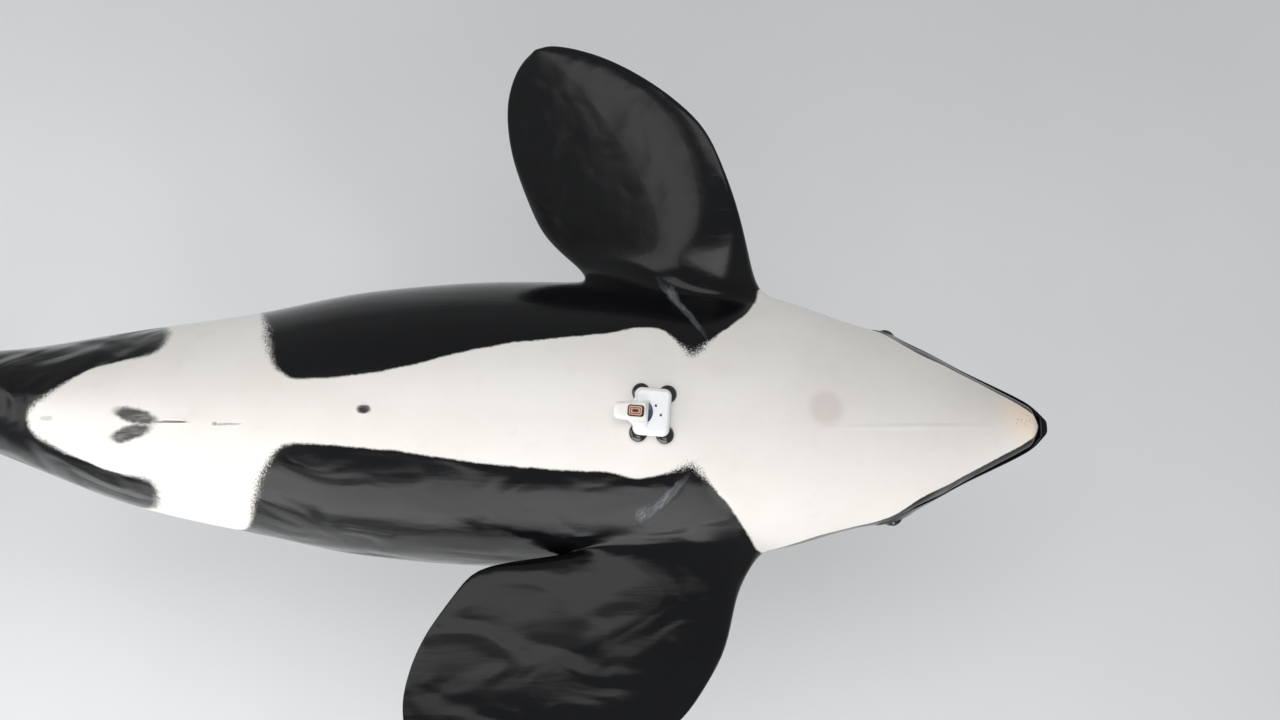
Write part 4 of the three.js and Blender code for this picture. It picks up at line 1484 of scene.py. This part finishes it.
def rounded_outline(length, width, corner, x, y):
    """A rectangle round a middle, with rounded corners."""
    cx, cy = length / 2 - corner, width / 2 - corner
    quarter = math.pi / 2
    points = []
    for i, (sx, sy) in enumerate(CORNERS):
        start = quarter * i
        points += arc(x + sx * cx, y + sy * cy, corner, start, start + quarter, CORNER_STEPS)
    return points


def face_of(bm, outline, z):
    """A face from an outline, facing up."""
    return bm.faces.new([bm.verts.new((x, y, z)) for x, y in outline])


def raised(bm, face, height):
    """Extrudes a face straight up and returns its new top."""
    made = bmesh.ops.extrude_face_region(bm, geom=[face], use_keep_orig=True)
    top = new_parts(made, bmesh.types.BMFace)[0]
    bmesh.ops.translate(bm, verts=top.verts, vec=(0, 0, height))
    return top


def closed_plate(outline, bottom, height, bevel, segments=PLATE_SEGMENTS):
    """A plate with rounded top and bottom edges."""
    bm = bmesh.new()
    base = face_of(bm, outline, bottom)
    top = raised(bm, base, height)
    base.normal_flip()
    edges = list(top.edges) + list(base.edges)
    if bevel:
        bmesh.ops.bevel(bm, geom=edges, offset=bevel, segments=segments, profile=0.5,
                        affect="EDGES", material=-1)
    bmesh.ops.recalc_face_normals(bm, faces=bm.faces)
    return bm


class OrcaSkinSettings(bpy.types.PropertyGroup):
    black_skin: FloatVectorProperty(
        name="Black skin", description="Colour of the dark skin", subtype="COLOR",
        default=(0.0034, 0.0036, 0.0042), min=0, max=1)
    white_skin: FloatVectorProperty(
        name="White skin", description="Colour of the belly", subtype="COLOR",
        default=(0.845, 0.815, 0.775), min=0, max=1)
    chin_tint: FloatVectorProperty(
        name="Chin tint", description="Warm colour at the tip of the chin", subtype="COLOR",
        default=(0.99, 0.83, 0.68), min=0, max=1)
    edge_fuzz: FloatProperty(
        name="Edge fuzz", description="How far the edge of the white is broken up", unit="LENGTH",
        default=0.010, min=0, max=0.1)
    ripple: FloatProperty(
        name="Ripple", description="Unevenness of the wet skin's sheen", unit="LENGTH",
        default=0.022, min=0, max=0.05)
    roughness: FloatProperty(
        name="Roughness", description="Roughness of the wet skin", subtype="FACTOR",
        default=0.085, min=0, max=1)
    levels: IntProperty(
        name="Smoothness", description="Subdivision levels of the skin", default=2, min=0, max=2)


class OrcaLoggerSettings(bpy.types.PropertyGroup):
    plastic: FloatVectorProperty(
        name="Housing", description="Colour of the housing", subtype="COLOR",
        default=(0.93, 0.94, 0.96), min=0, max=1)
    pod: FloatVectorProperty(
        name="Pod", description="Colour of the pod", subtype="COLOR",
        default=(0.93, 0.90, 0.86), min=0, max=1)
    copper: FloatVectorProperty(
        name="Window", description="Colour of the copper rings", subtype="COLOR",
        default=(0.66, 0.36, 0.25), min=0, max=1)
    bevel: FloatProperty(
        name="Edge radius", description="Rounding of the housing's edges", unit="LENGTH",
        default=0.008, min=0.001, max=0.014)


class OrcaStandSettings(bpy.types.PropertyGroup):
    paint: FloatVectorProperty(
        name="Paint", description="Colour of the stand", subtype="COLOR",
        default=(0.34, 0.345, 0.35), min=0, max=1)


class OrcaStudioSettings(bpy.types.PropertyGroup):
    floor: FloatVectorProperty(
        name="Floor", description="Colour of the floor", subtype="COLOR",
        default=(0.73, 0.735, 0.74), min=0, max=1)
    camera_place: FloatVectorProperty(
        name="Camera place", description="Where the camera stands", subtype="XYZ", unit="LENGTH",
        default=(0.7039, -0.4860, 5.7591))
    camera_tilt: FloatProperty(
        name="Camera tilt", description="Lean of the camera off straight down", subtype="ANGLE",
        default=math.radians(10))
    focal_pixels: FloatProperty(
        name="Focal length", description="In pixels of a frame 1280 wide", default=1071)


class ORCA_OT_skin(bpy.types.Operator):
    """Build the orca's skin, with its fins, mouth, lids and markings"""

    bl_idname = "orca.skin"
    bl_label = "Skin"

    def execute(self, context):
        settings = context.scene.orca_skin
        bm = bmesh.new()
        row = bm.verts.layers.int.new("row")
        column = bm.verts.layers.int.new("column")
        limb = bm.verts.layers.float.new("limb")
        upper = bm.verts.layers.float.new("upper")
        places = body_cage(bm, row, column)
        add_limbs(bm, row, column, limb, upper, places)
        add_eyelids(bm, row, column)
        add_openings(bm, row, column)
        bmesh.ops.recalc_face_normals(bm, faces=bm.faces)
        mesh = subdivided(bm, settings.levels)
        add_markings(mesh)
        piece_from_mesh("skin", mesh, skin_material(settings), "skin_black", SKIN_NODES)
        return {"FINISHED"}


class ORCA_OT_eyes(bpy.types.Operator):
    """Build both eyes behind their lids"""

    bl_idname = "orca.eyes"
    bl_label = "Eyes"

    def execute(self, context):
        material = eye_material()
        for name, angle in (("right", EYE_ANGLE), ("left", -EYE_ANGLE)):
            place, _, _, outward = body_frame(EYE_BEHIND, angle)
            bm = bmesh.new()
            bmesh.ops.create_uvsphere(bm, u_segments=40, v_segments=24, radius=EYE_RADIUS)
            bmesh.ops.translate(bm, verts=bm.verts, vec=place - outward * EYE_DEPTH)
            piece_of(f"eyeball_{name}", bm, material, "eye", [f"eye_{name}"])
        return {"FINISHED"}


class ORCA_OT_logger(bpy.types.Operator):
    """Build the data logger on the chest, with its suction cups"""

    bl_idname = "orca.logger"
    bl_label = "Logger"

    def execute(self, context):
        settings = context.scene.orca_logger
        matrix = tag_matrix()
        plastic = plain_material("logger_plastic", settings.plastic, roughness=0.32)
        pod = plain_material("logger_pod", settings.pod, roughness=0.35)
        copper = plain_material("logger_copper", settings.copper, roughness=0.33, metallic=0.35)
        rubber = plain_material("logger_rubber", RUBBER_BLACK, roughness=0.42, grain=0.0002)
        slot = plain_material("logger_slot", SLOT_BROWN, roughness=0.45)
        cup = plain_material("logger_cup", CUP_BLACK, roughness=0.2, coat=0.7)
        # Painted shade: dark blue for the crescent plate in the gap at the pod's front
        blue = plain_material(
            "logger_gap_shade", GAP_SHADE_BLUE, roughness=0.25, grain=0.0004, coat=0.5, speckle=GAP_SHADE_SPECKLE)

        def finished(name, bm, material, slot, nodes=(), smooth=True):
            bmesh.ops.transform(bm, matrix=matrix, verts=bm.verts)
            piece_of(name, bm, material, slot, nodes, smooth)

        outline = rounded_outline(TAG_LENGTH, TAG_WIDTH, TAG_CORNER, TAG_SHIFT, TAG_SIDE_SHIFT)
        bm = closed_plate(outline, TAG_FOOT, TAG_HEIGHT, settings.bevel)
        finished("logger_housing", bm, plastic, "tag_white", ["tag_housing"])
        top = TAG_FOOT + TAG_HEIGHT + GAP
        self.build_pod(finished, top, pod, plastic)
        self.build_window(finished, top + POD_HEIGHT + GAP, rubber, copper, slot)
        self.build_trim(finished, top, blue, rubber)
        self.build_cups(finished, cup)
        return {"FINISHED"}

    def build_pod(self, finished, foot, material, plastic):
        """Pod with a leaning front and round rear corners, with the flange and buttress that carry it."""
        root, end = POD_ROOT_WIDTH / 2, POD_END_WIDTH / 2 - POD_END_CORNER
        corner, quarter = POD_BACK + POD_END_CORNER, math.pi / 2
        outline = [(POD_FRONT, POD_SIDE - root), (POD_FRONT, POD_SIDE + root)]
        for start, side in ((1, end), (2, -end)):
            outline += arc(corner, POD_SIDE + side, POD_END_CORNER,
                           quarter * start, quarter * (start + 1), CORNER_STEPS)
        bm = closed_plate(outline, foot, POD_HEIGHT, POD_BEVEL)
        for vert in bm.verts:
            if vert.co.x > POD_FRONT - POD_FRONT_LEAN:
                vert.co.x -= POD_FRONT_LEAN * (vert.co.z - foot) / POD_HEIGHT
        finished("logger_pod", bm, material, "tag_white", ["tag_pod"])

        outline = rounded_outline(FLANGE_LENGTH, FLANGE_WIDTH, FLANGE_CORNER, FLANGE_X, FLANGE_SIDE)
        bm = closed_plate(outline, foot, FLANGE_HEIGHT, FLANGE_BEVEL)
        finished("logger_flange", bm, plastic, "tag_white")

        back = TAG_SHIFT - TAG_LENGTH / 2
        edge = []
        for i in range(BUTTRESS_STEPS + 1):
            way = i / BUTTRESS_STEPS
            half = BUTTRESS_END + (BUTTRESS_ROOT - BUTTRESS_END) * (1 - way) ** BUTTRESS_CURVE
            edge.append((back - BUTTRESS_LENGTH * way, half))
        outline = [(x, POD_SIDE + half) for x, half in edge]
        outline += [(x, POD_SIDE - half) for x, half in reversed(edge)]
        bm = closed_plate(outline, BUTTRESS_FOOT, BUTTRESS_HEIGHT, BUTTRESS_BEVEL)
        finished("logger_buttress", bm, plastic, "tag_white")

    def build_window(self, finished, foot, rubber, copper, dark):
        """Dark rim, stepped copper ring in it, and the slot in the ring."""
        outline = rounded_outline(WINDOW_LENGTH, WINDOW_WIDTH, RIM_CORNER, WINDOW_X, POD_SIDE)
        bm = closed_plate(outline, foot, RIM_HEIGHT, RIM_BEVEL, TRIM_SEGMENTS)
        finished("logger_window_rim", bm, rubber, "tag_rubber", ["tag_window_rim"])

        centre = WINDOW_X - RIM_FRONT / 2
        length, width = WINDOW_LENGTH - 2 * RIM_SIDE - RIM_FRONT, WINDOW_WIDTH - 2 * RIM_SIDE
        outline = rounded_outline(length, width, RING_CORNER, centre, POD_SIDE)
        bm = closed_plate(outline, foot, RING_HEIGHT, 0)
        face = max(bm.faces, key=lambda f: f.calc_center_median().z)
        for inset, depth in RING_STEPS:
            bmesh.ops.inset_region(bm, faces=[face], thickness=inset, depth=depth, use_even_offset=True)
        finished("logger_window", bm, copper, "tag_copper", ["tag_window"], smooth=False)

        outline = rounded_outline(SLOT_LENGTH, SLOT_WIDTH, SLOT_CORNER, centre, POD_SIDE)
        bm = closed_plate(outline, foot + SLOT_FOOT, SLOT_HEIGHT, SLOT_BEVEL, TRIM_SEGMENTS)
        finished("logger_slot", bm, dark, "tag_rubber")

    def build_trim(self, finished, foot, blue, rubber):
        """Dark blue crescent plate at the pod's front, painted shade for the shadow gap there, and two
        buttons.
        """
        radius = (CRESCENT_HALF ** 2 + CRESCENT_RISE ** 2) / (2 * CRESCENT_RISE)
        half = math.asin(CRESCENT_HALF / radius)
        centre = CRESCENT_X + CRESCENT_RISE - radius
        outline = arc(centre, POD_SIDE, radius, -half, half, CRESCENT_STEPS)
        bm = closed_plate(outline, foot, TRIM_HEIGHT, CRESCENT_BEVEL, TRIM_SEGMENTS)
        finished("logger_crescent", bm, blue, "tag_blue", ["tag_crescent"])

        last = BUTTON_SIDES - 1
        for number, (x, y) in enumerate(BUTTON_PLACES, start=1):
            outline = arc(x, y, BUTTON_RADIUS, 0, 2 * math.pi * last / BUTTON_SIDES, last)
            bm = closed_plate(outline, foot, TRIM_HEIGHT, BUTTON_BEVEL, TRIM_SEGMENTS)
            finished(f"logger_button_{number}", bm, rubber, "tag_rubber", [f"tag_button_{number}"])

    def build_cups(self, finished, material):
        """Flared bells, each spun from its profile."""
        for number, (forward, side) in enumerate(CORNERS, start=1):
            bm = bmesh.new()
            verts = [bm.verts.new((radius, 0, z)) for radius, z in CUP_PROFILE]
            edges = [bm.edges.new(pair) for pair in zip(verts, verts[1:])]
            bmesh.ops.spin(bm, geom=verts + edges, cent=(0, 0, 0), axis=(0, 0, 1),
                           angle=2 * math.pi, steps=CUP_SIDES, use_merge=True)
            bmesh.ops.remove_doubles(bm, verts=bm.verts, dist=MERGE_DISTANCE)
            bmesh.ops.recalc_face_normals(bm, faces=bm.faces)
            centre = (forward * CUP_OFFSET[0], side * CUP_OFFSET[1], 0)
            bmesh.ops.translate(bm, verts=bm.verts, vec=centre)
            finished(f"logger_cup_{number}", bm, material, "tag_rubber", [f"tag_cup_{number}"])


class ORCA_OT_stand(bpy.types.Operator):
    """Paint the display stand's base, feet and rods"""

    bl_idname = "orca.stand"
    bl_label = "Stand"

    def execute(self, context):
        settings = context.scene.orca_stand
        paint = plain_material("stand_paint", settings.paint, roughness=0.38, grain=0.0003, coat=0.2)
        for name in STAND_NODES:
            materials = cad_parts[name].data.materials
            materials.clear()
            materials.append(paint)
        return {"FINISHED"}


class ORCA_OT_studio(bpy.types.Operator):
    """Build the floor, the soft lights and the camera"""

    bl_idname = "orca.studio"
    bl_label = "Studio"

    def execute(self, context):
        settings = context.scene.orca_studio
        bm = bmesh.new()
        bmesh.ops.create_grid(bm, x_segments=8, y_segments=8, size=FLOOR_HALF)
        mesh = bpy.data.meshes.new("floor")
        bm.to_mesh(mesh)
        bm.free()
        s = Shader("floor")
        darker = tuple(channel * FLOOR_SHADE for channel in settings.floor)
        clouds = s.ramp(s.noise(scale=0.6, detail=3.0), 0.3, 0.7)
        s.set(Base_Color=s.mix(clouds, settings.floor, darker))
        s.set(Roughness=0.75, Specular_IOR_Level=0.2)
        mesh.materials.append(s.material)
        floor = bpy.data.objects.new("floor", mesh)
        context.scene.collection.objects.link(floor)
        self.build_lights(context)
        self.build_camera(context, settings)
        return {"FINISHED"}

    def build_lights(self, context):
        """Soft lights and an even sky."""
        world = bpy.data.worlds.new("studio")
        world.use_nodes = True
        sky = world.node_tree.nodes["Background"].inputs
        sky["Color"].default_value = SKY_COLOR
        sky["Strength"].default_value = SKY_STRENGTH
        context.scene.world = world
        for name, place, aim, width, height, power in LIGHTS:
            data = bpy.data.lights.new(name, "AREA")
            data.shape = "RECTANGLE"
            data.size = width
            data.size_y = height
            data.energy = power
            light = bpy.data.objects.new(name, data)
            light.location = place
            light.visible_camera = False
            light.rotation_euler = (Vector(aim) - Vector(place)).to_track_quat("-Z", "Y").to_euler()
            context.scene.collection.objects.link(light)
        context.scene.view_settings.view_transform = "Standard"

    def build_camera(self, context, settings):
        """A camera above the belly that looks a little towards the animal's right."""
        data = bpy.data.cameras.new("camera")
        data.sensor_width = SENSOR_WIDTH
        data.lens = SENSOR_WIDTH * settings.focal_pixels / FRAME_WIDTH
        camera = bpy.data.objects.new("camera", data)
        camera.location = settings.camera_place
        camera.rotation_euler = (settings.camera_tilt, 0, 0)
        context.scene.collection.objects.link(camera)
        context.scene.camera = camera


class ORCA_PT_panel(bpy.types.Panel):
    """Sidebar panel that lists the operators and their settings"""

    bl_label = "Orca"
    bl_idname = "ORCA_PT_panel"
    bl_space_type = "VIEW_3D"
    bl_region_type = "UI"
    bl_category = "Orca"

    def draw(self, context):
        layout = self.layout
        for operator, group in PIECES:
            layout.operator(operator)
            if group:
                settings = getattr(context.scene, group)
                for name in settings.__annotations__:
                    layout.prop(settings, name)


PIECES = (
    ("orca.skin", "orca_skin"),
    ("orca.eyes", None),
    ("orca.logger", "orca_logger"),
    ("orca.stand", "orca_stand"),
    ("orca.studio", "orca_studio"),
)
SETTINGS = {
    "orca_skin": OrcaSkinSettings,
    "orca_logger": OrcaLoggerSettings,
    "orca_stand": OrcaStandSettings,
    "orca_studio": OrcaStudioSettings,
}
OPERATORS = (ORCA_OT_skin, ORCA_OT_eyes, ORCA_OT_logger, ORCA_OT_stand, ORCA_OT_studio)


def register():
    for group in SETTINGS.values():
        bpy.utils.register_class(group)
    for operator in OPERATORS:
        bpy.utils.register_class(operator)
    bpy.utils.register_class(ORCA_PT_panel)
    for name, group in SETTINGS.items():
        setattr(bpy.types.Scene, name, PointerProperty(type=group))


def unregister():
    for name in SETTINGS:
        delattr(bpy.types.Scene, name)
    bpy.utils.unregister_class(ORCA_PT_panel)
    for operator in reversed(OPERATORS):
        bpy.utils.unregister_class(operator)
    for group in SETTINGS.values():
        bpy.utils.unregister_class(group)


def main():
    register()
    bpy.ops.orca.skin()
    bpy.ops.orca.eyes()
    bpy.ops.orca.logger()
    bpy.ops.orca.stand()
    bpy.ops.orca.studio()


if __name__ == "__main__":
    main()
